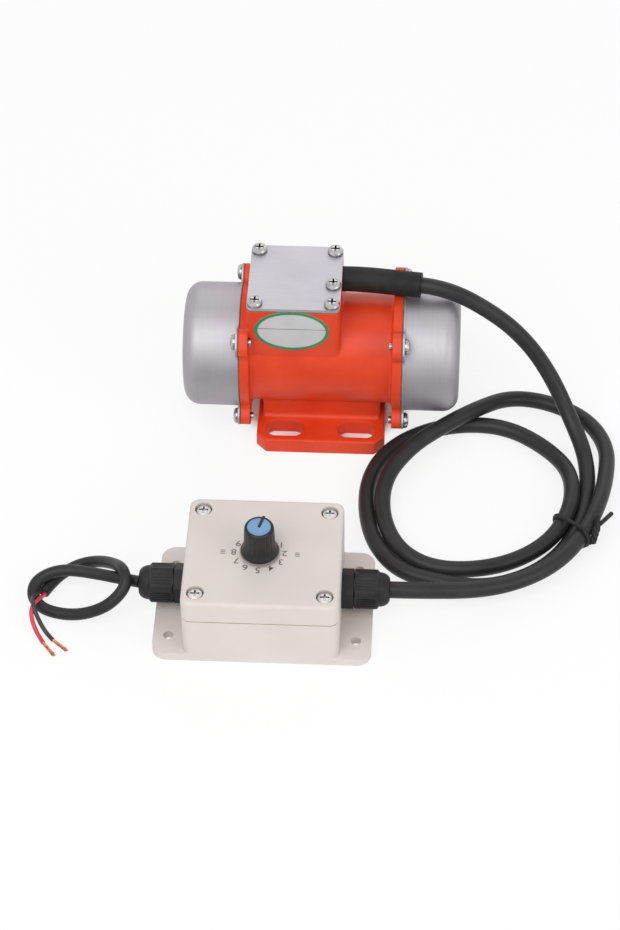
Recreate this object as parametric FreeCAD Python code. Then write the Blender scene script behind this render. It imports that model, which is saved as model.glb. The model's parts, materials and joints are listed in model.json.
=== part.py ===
import FreeCAD, Part
import math
import os

# Vibration motor with its terminal box, cable and speed controller, in millimetres.
# X runs along the motor shaft, Z up; the origin lies on the floor in the middle
# of the four foot slots. The controller stands in front of the motor, at -Y.

# Motor housing
axis_height = 34.0
bore_radius = 20.25
barrel_wall = 3.55
housing_length = 69.6
flange_radius = 27.5
flange_thickness = 4.2
flange_root_radius = 1.4
lug_height = 7.5
lug_width = 12.0
lug_corner = 3.6
lug_root_radius = 2.6
cover_screw_radius = 1.75
cover_screw_length = 8.7
cover_head_radius = 3.4
cover_head_height = 2.2

# Feet and pedestal
foot_length = 55.8
foot_depth = 64.0
foot_thickness = 7.2
foot_chamfer = 4.2
foot_edge_radius = 1.0
foot_end_ledge = 2.6
foot_ledge = 15.6
pedestal_cove = 2.5
slot_inset_x = 12.25
slot_inset_y = 7.95
slot_length = 16.4
slot_width = 9.3
core_wall = 3.6
core_rib = 3.0
core_depth = 8.4
core_corner = 1.5

# Terminal box on the barrel
box_flange_overlap = 0.5
box_length = 39.4
box_depth = 40.0
box_wall = 3.0
box_corner = 2.0
box_floor_over_axis = 25.6
box_top_over_axis = 38.1
plate_thickness = 1.3
box_gasket = 0.5
plate_corner = 2.2
plate_screw_inset = 3.4
plate_screw_extra_y = -4.5
plate_boss_radius = 3.1
plate_screw_radius = 1.5
plate_screw_length = 9.0
plate_head_radius = 3.3
plate_head_height = 2.3
wire_hole_radius = 2.1

# Terminal block inside the box
block_length = 21.0
block_depth = 9.0
block_height = 7.4
block_poles = 6
block_offset_x = -1.1
block_offset_y = -9.5
block_screw_radius = 1.2
block_entry_height = 3.2

# Sealing gaskets and drawn end covers
gasket_thickness = 0.4
cover_sheet = 1.2
cover_lip = 0.7
cover_radius = 26.8
cover_end = 59.4
cover_corner = 6.8

# End shields that carry the bearings
shield_thickness = 4.0
shield_radius = 24.4
shield_spigot_end = 24.0
shield_spigot_wall = 2.6
shield_boss_radius = 14.2
shield_screw_radius = 1.0
shield_screw_circle = 44.2
shield_screw_length = 6.0
shield_head_radius = 1.9
shield_head_height = 1.5

# Ball bearings, 8 mm bore
bearing_bore = 8.0
bearing_outer = 22.0
bearing_width = 7.0
bearing_centre = 29.0
ball_radius = 1.95
ball_count = 7
groove_radius = 2.05
inner_land = 6.0
outer_land = 9.0
cage_inner = 6.9
cage_outer = 8.1
cage_width = 5.0

# Shaft, rotor and stator
shaft_length = 114.0
rotor_seat_radius = 6.0
rotor_length = 30.0
rotor_radius = 11.0
magnet_thickness = 2.4
magnet_count = 8
magnet_gap_angle = 5.0
air_gap = 0.5
stator_length = 30.0
tooth_count = 9
tooth_width = 3.2
shoe_thickness = 1.2
slot_opening = 1.7
yoke_thickness = 3.4
coil_overhang = 4.4
coil_side = 2.0
hall_board_thickness = 1.2
hall_board_inset = 2.0
hall_sensor_width = 4.0
hall_sensor_height = 1.4
hall_sensor_depth = 3.0

# Eccentric weights
weight_radius = 22.0
weight_thickness = 14.0
weight_inner_face = 38.0
weight_hub_radius = 9.5
weight_half_angle = 82.0
clamp_slit = 1.2
clamp_width = 8.0
clamp_nut_height = 1.8
clamp_nut_flats = 4.0
clamp_screw_radius = 1.25
clamp_screw_height = 6.9
clamp_head_radius = 2.3
clamp_head_height = 2.4
circlip_thickness = 0.8
circlip_width = 2.4
circlip_groove = 0.35
circlip_mouth = 2.8

# Speed controller box
case_x = -18.3
case_y = -122.0
case_length = 63.6
case_depth = 58.0
case_height = 35.0
lid_height = 11.0
case_wall = 2.2
case_corner = 4.0
lid_edge = 1.6
seam_edge = 0.35
lid_screw_inset_x = 5.85
lid_screw_inset_y = 6.25
lid_post_radius = 4.4
lid_screw_radius = 1.8
lid_screw_length = 20.0
lid_head_radius = 3.3
lid_head_height = 2.3
lid_head_recess = 2.6
ear_reach = 12.9
ear_thickness = 4.0
ear_corner = 6.0
ear_hole_inset_x = 6.35
ear_hole_inset_y = 9.75
ear_hole_radius = 2.1
seal_thickness = 0.8

# Control board
board_margin_x = 8.3
board_margin_y = 7.0
board_thickness = 1.6
board_standoff = 5.0
board_hole_inset_x = 3.5
board_hole_inset_y = 3.0
board_screw_radius = 1.2
board_screw_length = 5.0
board_head_radius = 2.2
board_head_height = 1.4
board_post_radius = 3.0
can_radius = 4.0
can_height = 12.0
can_edge = 6.5
can_gap = 2.0
transistor_count = 6
transistor_room = 7.0
transistor_gap = 0.9
transistor_depth = 2.7
transistor_height = 9.0
transistor_edge = 3.85
chip_length = 10.0
chip_depth = 7.0
chip_height = 1.6
chip_offset_y = -8.5
terminal_pitch = 3.8
terminal_length = 6.8
terminal_height = 7.0
terminal_inset = 4.2
terminal_edge = 11.6

# Potentiometer and knob
knob_offset_x = -1.3
knob_offset_y = -0.8
pot_radius = 8.2
pot_depth = 8.0
pot_bush_radius = 3.5
pot_bush_height = 6.0
pot_shaft_radius = 3.0
pot_nut_height = 2.0
pot_nut_flats = 10.0
pot_leg_pitch = 5.0
pot_leg_width = 1.2
pot_leg_length = 4.0
knob_radius = 7.7
knob_top_radius = 6.1
knob_skirt = 5.4
knob_height = 14.0
knob_lift = 1.9
knob_cap_radius = 5.0
knob_cap_height = 1.2
knob_ribs = 18
knob_rib_radius = 0.55
knob_web = 3.0
knob_cap_seat = 1.0

# Cable glands
gland_height = 14.3
gland_hex = 14.6
gland_flange = 4.9
gland_nut_length = 10.4
gland_nut_flats = 15.0
gland_nut_corner = 8.2
gland_dome_length = 4.4
gland_dome_radius = 7.3
gland_dome_round = 3.0
gland_thread_radius = 6.1
gland_shank = 5.6
locknut_height = 4.0
gland_bore = 4.3
gland_thread_length = 7.0
gland_seal_wall = 0.8
gland_rib_depth = 0.3
gland_rib_width = 0.5
gland_rib_pitch = 1.3
gland_ribs = 4
gland_turns = {1: 57.0, -1: 37.0}

# Cables
output_cable_radius = 3.5
input_cable_radius = 2.5
wire_radius = 0.9
strand_radius = 0.75
core_radius = 0.65
boot_radius = 5.45
boot_neck_radius = 4.2
boot_lip_radius = 4.9
boot_flange = 1.8
boot_straight = 9.7
boot_reach = 24.0
boot_sway = 3.2
boot_rise = 0.4
boot_y = 8.2
boot_over_axis = 32.4
core_pitch = 1.4
strand_length = 8.5
coil_bottom = 0.9
coil_height = 9.0
tie_centre = (107.7, -78.1)
tie_across = (0.577, -0.817)
tie_reach = 27.0
tie_band = 2.2
tie_thickness = 0.8
tie_knot_radius = 1.3
tie_knot_length = 5.6
tie_end_radius = 0.9

fit_gap = 0.02
thread_gap = 0.05
slip_gap = 0.3

flange_face = housing_length / 2
flange_inner = flange_face - flange_thickness
barrel_radius = bore_radius + barrel_wall
shield_seat = flange_face - shield_thickness
lug_angles = (45, 135, 225, 315)
lug_reach = flange_radius + lug_height
cover_screw_circle = 2 * flange_radius + lug_height
pedestal_length = foot_length - 2 * foot_end_ledge
pedestal_depth = foot_depth - 2 * foot_ledge
slot_spacing_x = foot_length - 2 * slot_inset_x
slot_spacing_y = foot_depth - 2 * slot_inset_y
box_left = -flange_inner - box_flange_overlap
box_right = box_left + box_length
box_centre_x = (box_left + box_right) / 2
box_floor = axis_height + box_floor_over_axis
box_top = axis_height + box_top_over_axis
lid_bottom = case_height - lid_height
gland_right = case_x + case_length / 2
gland_left = case_x - case_length / 2
lid_screw_spacing_x = case_length - 2 * lid_screw_inset_x
lid_screw_spacing_y = case_depth - 2 * lid_screw_inset_y
ear_total = case_length + 2 * ear_reach
ear_hole_spacing_x = ear_total - 2 * ear_hole_inset_x
ear_hole_spacing_y = case_depth - 2 * ear_hole_inset_y
board_length = case_length - 2 * board_margin_x
board_depth = case_depth - 2 * board_margin_y
board_hole_spacing_x = board_length - 2 * board_hole_inset_x
board_hole_spacing_y = board_depth - 2 * board_hole_inset_y
transistor_pitch = (board_hole_spacing_x - transistor_room) / transistor_count
knob_x = case_x + knob_offset_x
knob_y = case_y + knob_offset_y
boot_z = axis_height + boot_over_axis
boot_inside = box_right - box_wall
shaft_radius = bearing_bore / 2
block_x = box_centre_x + block_offset_x
block_y = block_offset_y
board_low = case_wall + board_standoff
board_top = board_low + board_thickness


def vec(x, y, z):
    return FreeCAD.Vector(x, y, z)


x_axis = vec(1, 0, 0)
y_axis = vec(0, 1, 0)
z_axis = vec(0, 0, 1)
motor_centre = vec(0, 0, axis_height)


def put(shape, base, axis):
    # Moves a shape made along +Z at the origin to a base point and a direction
    moved = shape.copy()
    moved.Placement = FreeCAD.Placement(base, FreeCAD.Rotation(z_axis, axis))
    return moved


def turned(profile, base, axis):
    # Turns a closed (along, radius) profile about an axis
    points = [vec(radius, 0, along) for along, radius in profile]
    face = Part.Face(Part.makePolygon(points + [points[0]]))
    return put(face.revolve(vec(0, 0, 0), z_axis, 360), base, axis)


def on_shaft(profile):
    # Turns a closed (x, radius) profile about the motor axis
    points = [vec(along, 0, axis_height + radius) for along, radius in profile]
    face = Part.Face(Part.makePolygon(points + [points[0]]))
    return face.revolve(motor_centre, x_axis, 360)


def shaft_tube(start, end, outer, inner=0.0):
    tube = Part.makeCylinder(outer, end - start, vec(start, 0, axis_height), x_axis)
    if inner > 0:
        tube = tube.cut(Part.makeCylinder(inner, end - start, vec(start, 0, axis_height), x_axis))
    return tube


def mirrored(shape):
    return shape.mirror(vec(0, 0, 0), x_axis)


def box_at(x0, x1, y0, y1, z0, z1):
    return Part.makeBox(x1 - x0, y1 - y0, z1 - z0, vec(x0, y0, z0))


def upright_edges(shape):
    return [e for e in shape.Edges if len(e.Vertexes) == 2
            and abs(e.tangentAt(e.FirstParameter).z) > 0.999]


def rounded_box(x0, x1, y0, y1, z0, z1, corner):
    block = box_at(x0, x1, y0, y1, z0, z1)
    return block.makeFillet(corner, upright_edges(block))


def around(shape, count, centre, axis, start=0.0):
    copies = []
    for i in range(count):
        copy = shape.copy()
        copy.rotate(centre, axis, start + 360.0 * i / count)
        copies.append(copy)
    return copies


def joined(shapes):
    whole = shapes[0]
    if len(shapes) > 1:
        whole = whole.fuse(shapes[1:])
    return whole.removeSplitter()


def group(shapes):
    return Part.makeCompound(shapes)


def pan_screw(head_radius, head_height, shank_radius, length, base, axis):
    # Domed head above the base point, shank below it, cross recess in the head
    profile = [(-length, 0), (-length, shank_radius), (0, shank_radius), (0, head_radius),
               (head_height * 0.45, head_radius), (head_height * 0.8, head_radius * 0.86),
               (head_height, head_radius * 0.5), (head_height, 0)]
    screw = turned(profile, vec(0, 0, 0), z_axis)
    arm = head_radius * 0.55
    half = head_radius * 0.13
    depth = head_height * 0.5
    cross = box_at(-arm, arm, -half, half, depth, head_height + 1)
    cross = cross.fuse(box_at(-half, half, -arm, arm, depth, head_height + 1))
    return put(screw.cut(cross), base, axis)


def hexagon(across_flats, height):
    radius = across_flats / math.sqrt(3)
    corners = [vec(radius * math.cos(math.radians(60 * i)), radius * math.sin(math.radians(60 * i)), 0)
               for i in range(7)]
    return Part.Face(Part.makePolygon(corners)).extrude(vec(0, 0, height))


def tube_path(points):
    # Straight runs joined by tangent arcs; prints the smallest radius
    corners = [vec(*p) for p in points]
    edges = []
    radii = []
    start = corners[0]
    for before, corner, after in zip(corners, corners[1:], corners[2:]):
        back = (before - corner).normalize()
        ahead = (after - corner).normalize()
        half_turn = (math.pi - back.getAngle(ahead)) / 2
        reach = 0.45 * min(before.distanceToPoint(corner), corner.distanceToPoint(after))
        radius = reach / math.tan(half_turn)
        arc_start = corner + back * reach
        arc_end = corner + ahead * reach
        bisector = (back + ahead).normalize()
        middle = corner + bisector * (radius / math.cos(half_turn) - radius)
        edges.append(Part.LineSegment(start, arc_start).toShape())
        edges.append(Part.Arc(arc_start, middle, arc_end).toShape())
        radii.append(radius)
        start = arc_end
    edges.append(Part.LineSegment(start, corners[-1]).toShape())
    return Part.Wire(edges), radii


def tube(name, points, radius):
    path, radii = tube_path(points)
    direction = vec(*points[1]) - vec(*points[0])
    ring = Part.Wire([Part.makeCircle(radius, vec(*points[0]), direction)])
    solid = path.makePipeShell([ring], True, False)
    if name:
        volume = math.pi * radius * radius * path.Length
        print(name, "length", round(path.Length, 1), "radii", [round(r, 1) for r in radii],
              "volume ratio", round(solid.Volume / volume, 4))
    return solid


# The outline that the flange, gasket and cover lip share: a disc with four lugs
def flange_plate(start, thickness):
    plate = shaft_tube(start, start + thickness, flange_radius)
    lug = Part.Face(Part.Wire(lug_outline(start))).extrude(vec(thickness, 0, 0))
    lugs = around(lug, len(lug_angles), motor_centre, x_axis, lug_angles[0])
    return joined([plate] + lugs)


def lug_outline(start):
    # One lug upright: hollow blends out of the disc, straight sides, rounded corners
    def at(y, height):
        return vec(start, y, axis_height + height)
    half = lug_width / 2
    root = lug_root_radius
    blend_height = math.sqrt((flange_radius + root) ** 2 - (half + root) ** 2)
    turn = math.atan2(half + root, blend_height)
    foot_y = flange_radius * math.sin(turn)
    foot_height = flange_radius * math.cos(turn)
    middle = (math.pi / 2 + turn) / 2
    blend_y = half + root - root * math.sin(middle)
    blend_mid = blend_height - root * math.cos(middle)
    side = lug_reach - lug_corner
    bend = lug_corner * (1 - math.sqrt(0.5))
    edges = []
    for sign in (-1, 1):
        edges.append(Part.Arc(at(sign * foot_y, foot_height), at(sign * blend_y, blend_mid),
                              at(sign * half, blend_height)).toShape())
        edges.append(Part.LineSegment(at(sign * half, blend_height), at(sign * half, side)).toShape())
        edges.append(Part.Arc(at(sign * half, side), at(sign * (half - bend), lug_reach - bend),
                              at(sign * (half - lug_corner), lug_reach)).toShape())
    for y, height in ((half - lug_corner, lug_reach), (foot_y, foot_height)):
        edges.append(Part.LineSegment(at(-y, height), at(y, height)).toShape())
    return Part.__sortEdges__(edges)


def drilled_plate(start, thickness):
    hole = cover_screw_radius + thread_gap
    holes = cover_screw_spots(lambda y, z: Part.makeCylinder(hole, thickness, vec(start, y, z), x_axis))
    return flange_plate(start, thickness).cut(group(holes))


def cover_screw_spots(maker):
    spots = []
    for angle in lug_angles:
        turn = math.radians(angle)
        spots.append(maker(math.sin(turn) * cover_screw_circle / 2,
                           axis_height + math.cos(turn) * cover_screw_circle / 2))
    return spots


# Screw places on the terminal box: four corners and one beside the cable
def plate_screw_spots():
    dx = box_length / 2 - plate_screw_inset
    dy = box_depth / 2 - plate_screw_inset
    spots = [(box_centre_x + sx * dx, sy * dy) for sx in (-1, 1) for sy in (-1, 1)]
    spots.append((box_centre_x + dx, plate_screw_extra_y))
    return spots


def barrel():
    root = flange_root_radius
    top = vec(-flange_inner, 0, axis_height + barrel_radius + root)
    side = flange_inner - root
    bend = barrel_radius + root * (1 - math.sqrt(0.5))
    slope = flange_inner - root * (1 - math.sqrt(0.5))
    edges = [
        Part.Arc(top, vec(-slope, 0, axis_height + bend),
                 vec(-side, 0, axis_height + barrel_radius)).toShape(),
        Part.LineSegment(vec(-side, 0, axis_height + barrel_radius),
                         vec(side, 0, axis_height + barrel_radius)).toShape(),
        Part.Arc(vec(side, 0, axis_height + barrel_radius), vec(slope, 0, axis_height + bend),
                 vec(flange_inner, 0, axis_height + barrel_radius + root)).toShape(),
        Part.LineSegment(vec(flange_inner, 0, axis_height + barrel_radius + root),
                         vec(flange_inner, 0, axis_height)).toShape(),
        Part.LineSegment(vec(flange_inner, 0, axis_height), vec(-flange_inner, 0, axis_height)).toShape(),
        Part.LineSegment(vec(-flange_inner, 0, axis_height), top).toShape(),
    ]
    return Part.Face(Part.Wire(edges)).revolve(motor_centre, x_axis, 360)


def pedestal_and_feet():
    # The pedestal's section has a cove where its walls meet the feet
    half = pedestal_depth / 2
    cove = pedestal_cove
    low = foot_thickness
    high = axis_height - barrel_radius / 2
    bend = cove * (1 - math.sqrt(0.5))
    left = -pedestal_length / 2
    edges = [
        Part.LineSegment(vec(left, -half - cove, 0), vec(left, -half - cove, low)).toShape(),
        Part.Arc(vec(left, -half - cove, low), vec(left, -half - bend, low + bend),
                 vec(left, -half, low + cove)).toShape(),
        Part.LineSegment(vec(left, -half, low + cove), vec(left, -half, high)).toShape(),
        Part.LineSegment(vec(left, -half, high), vec(left, half, high)).toShape(),
        Part.LineSegment(vec(left, half, high), vec(left, half, low + cove)).toShape(),
        Part.Arc(vec(left, half, low + cove), vec(left, half + bend, low + bend),
                 vec(left, half + cove, low)).toShape(),
        Part.LineSegment(vec(left, half + cove, low), vec(left, half + cove, 0)).toShape(),
        Part.LineSegment(vec(left, half + cove, 0), vec(left, -half - cove, 0)).toShape(),
    ]
    pedestal = Part.Face(Part.Wire(edges)).extrude(vec(pedestal_length, 0, 0))
    foot = box_at(-foot_length / 2, foot_length / 2, -foot_depth / 2, foot_depth / 2, 0, foot_thickness)
    foot = foot.makeChamfer(foot_chamfer, upright_edges(foot))
    rims = [e for e in foot.Edges if e.CenterOfMass.z > foot_thickness - 0.01]
    foot = foot.makeFillet(foot_edge_radius, rims)
    base = joined([pedestal, foot])
    slots = []
    for sx in (-1, 1):
        for sy in (-1, 1):
            x = sx * slot_spacing_x / 2
            y = sy * slot_spacing_y / 2
            slots.append(rounded_box(x - slot_length / 2, x + slot_length / 2, y - slot_width / 2,
                                     y + slot_width / 2, -1, foot_thickness + pedestal_cove,
                                     slot_width / 2 - 0.01))
    # Cored underside: three pockets with ribs between them
    inner = pedestal_length - 2 * core_wall
    pocket = (inner - 2 * core_rib) / 3
    pockets = []
    for i in range(3):
        x = -inner / 2 + i * (pocket + core_rib)
        pockets.append(rounded_box(x, x + pocket, -half + core_wall, half - core_wall, -1, core_depth,
                                   core_corner))
    return base.cut(group(slots + pockets))


def motor_housing():
    flange = flange_plate(flange_inner, flange_thickness)
    box = box_at(box_left, box_right, -box_depth / 2, box_depth / 2, axis_height, box_top)
    box = box.makeFillet(box_corner, [e for e in upright_edges(box) if e.CenterOfMass.x > box_centre_x])
    body = joined([barrel(), flange, mirrored(flange), box, pedestal_and_feet()])
    cuts = [shaft_tube(-flange_face - 1, flange_face + 1, bore_radius)]
    seat = shield_radius + thread_gap
    cuts.append(shaft_tube(shield_seat, flange_face + 1, seat))
    cuts.append(shaft_tube(-flange_face - 1, -shield_seat, seat))
    screw_hole = cover_screw_radius + thread_gap
    for start in (flange_inner - 1, -flange_face - 1):
        cuts += cover_screw_spots(lambda y, z: Part.makeCylinder(
            screw_hole, flange_thickness + 2, vec(start, y, z), x_axis))
    cuts.append(terminal_cavity())
    cuts.append(Part.makeCylinder(boot_neck_radius, box_wall + 1, vec(boot_inside - 0.5, boot_y, boot_z),
                                  x_axis))
    cuts.append(Part.makeCylinder(wire_hole_radius, box_floor_over_axis - bore_radius + 3,
                                  vec(wire_hole_x(), 0, axis_height + bore_radius - 2)))
    for x, y in plate_screw_spots():
        cuts.append(Part.makeCylinder(plate_screw_radius + thread_gap, plate_screw_length,
                                      vec(x, y, box_top - plate_screw_length + plate_thickness + box_gasket)))
    for side in (1, -1):
        cuts += shield_screw_spots(lambda y, z: Part.makeCylinder(
            shield_screw_radius + thread_gap, shield_screw_length, vec(side * shield_seat, y, z),
            vec(-side, 0, 0)))
    return body.cut(group(cuts))


def wire_hole_x():
    # Between the ends of the windings and the spigot of the left shield
    return -(stator_length / 2 + coil_overhang + shield_spigot_end) / 2


def terminal_cavity():
    cavity = box_at(box_left + box_wall, box_right - box_wall, -box_depth / 2 + box_wall,
                    box_depth / 2 - box_wall, box_floor, box_top + 1)
    bosses = [Part.makeCylinder(plate_boss_radius, box_top + 2 - box_floor, vec(x, y, box_floor - 0.5))
              for x, y in plate_screw_spots()]
    return cavity.cut(group(bosses))


def shield_screw_spots(maker):
    spots = []
    for angle in (0, 90, 180, 270):
        turn = math.radians(angle)
        spots.append(maker(math.sin(turn) * shield_screw_circle / 2,
                           axis_height + math.cos(turn) * shield_screw_circle / 2))
    return spots


def cover_gasket():
    opening = shaft_tube(flange_face - 1, flange_face + 2, shield_radius + slip_gap)
    return drilled_plate(flange_face, gasket_thickness).cut(opening)


def end_cover():
    start = flange_face + gasket_thickness
    lip = drilled_plate(start, cover_lip)
    outer = shaft_tube(start, cover_end, cover_radius)
    outer = outer.makeFillet(cover_corner, end_rims(outer, cover_end))
    inner = shaft_tube(start - 1, cover_end - cover_sheet, cover_radius - cover_sheet)
    inner = inner.makeFillet(cover_corner - cover_sheet, end_rims(inner, cover_end - cover_sheet))
    return joined([lip, outer]).cut(inner)


def end_rims(shape, x):
    return [e for e in shape.Edges if abs(e.CenterOfMass.x - x) < 0.01]


def cover_screws():
    seat = flange_face + gasket_thickness + cover_lip
    return group(cover_screw_spots(lambda y, z: pan_screw(
        cover_head_radius, cover_head_height, cover_screw_radius, cover_screw_length - cover_head_height,
        vec(seat, y, z), x_axis)))


def end_shield():
    hole = inner_land + 1.0
    pocket = bearing_outer / 2 + fit_gap
    pocket_end = bearing_centre + bearing_width / 2
    pocket_start = bearing_centre - bearing_width / 2
    spigot_outer = bore_radius - fit_gap
    spigot_inner = spigot_outer - shield_spigot_wall
    face = flange_face
    profile = [(pocket_start, pocket), (pocket_end, pocket), (pocket_end, hole), (face, hole),
               (face, shield_radius), (shield_seat, shield_radius), (shield_seat, spigot_outer),
               (shield_spigot_end, spigot_outer), (shield_spigot_end, spigot_inner),
               (shield_seat, spigot_inner), (shield_seat, shield_boss_radius),
               (pocket_start, shield_boss_radius)]
    shield = on_shaft(profile)
    holes = shield_screw_spots(lambda y, z: Part.makeCylinder(
        shield_screw_radius + thread_gap, shield_thickness, vec(shield_seat, y, z), x_axis))
    holes += shield_screw_spots(lambda y, z: Part.makeCylinder(
        shield_head_radius + thread_gap, shield_head_height + 1, vec(face - shield_head_height, y, z),
        x_axis))
    return shield.cut(group(holes))


def shield_screws():
    seat = flange_face - shield_head_height
    return group(shield_screw_spots(lambda y, z: turned(
        [(-shield_screw_length, 0), (-shield_screw_length, shield_screw_radius), (0, shield_screw_radius),
         (0, shield_head_radius), (shield_head_height - 0.1, shield_head_radius),
         (shield_head_height - 0.1, 0)], vec(seat, y, z), x_axis)))


def bearing_ring(outer, inner):
    start = bearing_centre - bearing_width / 2
    ring = shaft_tube(start, start + bearing_width, outer, inner)
    track = Part.makeTorus((inner_land + outer_land) / 2, groove_radius,
                           vec(bearing_centre, 0, axis_height), x_axis)
    return ring.cut(track)


def bearing_cage():
    pitch = (inner_land + outer_land) / 2
    ring = shaft_tube(bearing_centre - cage_width / 2, bearing_centre + cage_width / 2, cage_outer,
                      cage_inner)
    spot = vec(bearing_centre, 0, axis_height)
    pocket = Part.makeCylinder(groove_radius, cage_outer, spot, z_axis)
    ring = ring.cut(group(around(pocket, ball_count, motor_centre, x_axis)))
    ball = Part.makeSphere(ball_radius, spot + vec(0, 0, pitch))
    return group([ring] + around(ball, ball_count, motor_centre, x_axis))


def rotor_shaft():
    half = shaft_length / 2
    seat = bearing_centre - bearing_width / 2
    clip = circlip_start()
    groove = shaft_radius - circlip_groove
    right = [(seat, rotor_seat_radius), (seat, shaft_radius - fit_gap), (clip, shaft_radius - fit_gap),
             (clip, groove), (clip + circlip_thickness, groove),
             (clip + circlip_thickness, shaft_radius - fit_gap), (half - 0.6, shaft_radius - fit_gap),
             (half, shaft_radius - 0.6), (half, 0)]
    left = [(-x, r) for x, r in reversed(right)]
    return on_shaft(left + right)


def circlip_start():
    return weight_inner_face + weight_thickness + slip_gap / 3


def circlip():
    start = circlip_start()
    inner = shaft_radius - circlip_groove
    ring = shaft_tube(start + fit_gap, start + circlip_thickness - fit_gap, inner + circlip_width,
                      inner + fit_gap)
    gap = box_at(start - 1, start + 2, -circlip_mouth / 2, circlip_mouth / 2, axis_height,
                 axis_height + bearing_bore)
    return ring.cut(gap)


def weight_spacer():
    return shaft_tube(bearing_centre + bearing_width / 2, weight_inner_face, inner_land - 0.3, shaft_radius)


def rotor_core():
    return shaft_tube(-rotor_length / 2, rotor_length / 2, rotor_radius - magnet_thickness,
                      rotor_seat_radius + fit_gap)


def rotor_magnets():
    sweep = 360.0 / magnet_count - magnet_gap_angle
    inner = rotor_radius - magnet_thickness + fit_gap
    section = ring_sector(inner, rotor_radius, sweep, rotor_length)
    return group(around(section, magnet_count, motor_centre, x_axis))


def ring_sector(inner, outer, sweep, length):
    # A piece of a tube round the motor axis, centred on +Z and on x = 0
    half = math.radians(sweep / 2)

    def at(radius, angle):
        return vec(-length / 2, radius * math.sin(angle), axis_height + radius * math.cos(angle))
    edges = [Part.Arc(at(outer, -half), at(outer, 0), at(outer, half)).toShape(),
             Part.LineSegment(at(outer, half), at(inner, half)).toShape(),
             Part.Arc(at(inner, half), at(inner, 0), at(inner, -half)).toShape(),
             Part.LineSegment(at(inner, -half), at(outer, -half)).toShape()]
    return Part.Face(Part.Wire(edges)).extrude(vec(length, 0, 0))


def stator_core():
    outer = bore_radius - fit_gap
    yoke_inner = outer - yoke_thickness
    shoe_inner = rotor_radius + air_gap
    shoe_outer = shoe_inner + shoe_thickness
    half = stator_length / 2
    yoke = shaft_tube(-half, half, outer, yoke_inner)
    opening = math.degrees(slot_opening / shoe_inner)
    shoe = ring_sector(shoe_inner, shoe_outer, 360.0 / tooth_count - opening, stator_length)
    tooth = box_at(-half, half, -tooth_width / 2, tooth_width / 2,
                   axis_height + shoe_outer - 0.4, axis_height + yoke_inner + 0.4)
    teeth = around(joined([shoe, tooth]), tooth_count, motor_centre, x_axis)
    return joined([yoke] + teeth)


def stator_windings():
    # One coil round each tooth, between its shoe and the yoke
    low = axis_height + rotor_radius + air_gap + shoe_thickness + slip_gap
    high = axis_height + bore_radius - yoke_thickness - 0.5
    half_x = stator_length / 2
    half_y = tooth_width / 2
    end_x = half_x + coil_overhang
    end_y = half_y + coil_side
    coil = rounded_box(-end_x, end_x, -end_y, end_y, low, high, coil_side)
    hole = box_at(-half_x - 0.1, half_x + 0.1, -half_y - 0.1, half_y + 0.1, low - 1, high + 1)
    return group(around(coil.cut(hole), tooth_count, motor_centre, x_axis))


def hall_board():
    end = shield_spigot_end
    outer = bore_radius - 3 * thread_gap
    inner = rotor_radius + hall_board_inset
    face = end - hall_board_thickness
    board = shaft_tube(face, end, outer, inner)
    sensor = box_at(face - hall_sensor_height, face, -hall_sensor_width / 2, hall_sensor_width / 2,
                    axis_height + inner + 1.0, axis_height + inner + 1.0 + hall_sensor_depth)
    sensors = around(sensor, tooth_count, motor_centre, x_axis)[2:5]
    return joined([board] + sensors)


# An eccentric weight: a clamped hub with a sector that hangs below the shaft
def eccentric_weight():
    start = weight_inner_face
    hub = shaft_tube(start, start + weight_thickness, weight_hub_radius)
    half = math.radians(weight_half_angle)

    def at(radius, angle):
        return vec(start, radius * math.sin(angle), axis_height - radius * math.cos(angle))
    edges = [Part.LineSegment(at(0, 0), at(weight_radius, -half)).toShape(),
             Part.Arc(at(weight_radius, -half), at(weight_radius, 0), at(weight_radius, half)).toShape(),
             Part.LineSegment(at(weight_radius, half), at(0, 0)).toShape()]
    sector = Part.Face(Part.Wire(edges)).extrude(vec(weight_thickness, 0, 0))
    weight = joined([hub, sector])
    bore = shaft_tube(start - 1, start + weight_thickness + 1, shaft_radius)
    slit = box_at(start - 1, start + weight_thickness + 1, -clamp_slit / 2, clamp_slit / 2,
                  axis_height, axis_height + weight_hub_radius + 1)
    middle = start + weight_thickness / 2
    level = axis_height + clamp_screw_height
    screw_hole = Part.makeCylinder(clamp_screw_radius + thread_gap, 2 * weight_radius,
                                   vec(middle, -weight_radius, level), y_axis)
    seats = []
    for side in (-1, 1):
        seats.append(Part.makeCylinder(clamp_head_radius + slip_gap, weight_radius,
                                       vec(middle, side * clamp_width / 2, level), vec(0, side, 0)))
    return weight.cut(group([bore, slit, screw_hole] + seats))


def clamp_screw():
    middle = weight_inner_face + weight_thickness / 2
    level = axis_height + clamp_screw_height
    seat = clamp_width / 2
    length = clamp_width + clamp_nut_height + 2 * fit_gap
    screw = turned([(-length, 0), (-length, clamp_screw_radius), (0, clamp_screw_radius),
                    (0, clamp_head_radius), (clamp_head_height, clamp_head_radius), (clamp_head_height, 0)],
                   vec(middle, -seat, level), vec(0, -1, 0))
    nut = put(hexagon(clamp_nut_flats, clamp_nut_height), vec(middle, seat, level), y_axis)
    nut = nut.cut(Part.makeCylinder(clamp_screw_radius + fit_gap, 6, vec(middle, seat - 1, level), y_axis))
    return group([screw, nut])


# Terminal box inside and lid
def terminal_plate():
    low = box_top + box_gasket
    plate = rounded_box(box_left, box_right, -box_depth / 2, box_depth / 2, low, low + plate_thickness,
                        plate_corner)
    return plate.cut(plate_holes(low, plate_thickness))


def plate_holes(low, thickness):
    return group([Part.makeCylinder(plate_screw_radius + thread_gap, thickness, vec(x, y, low))
                  for x, y in plate_screw_spots()])


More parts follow.
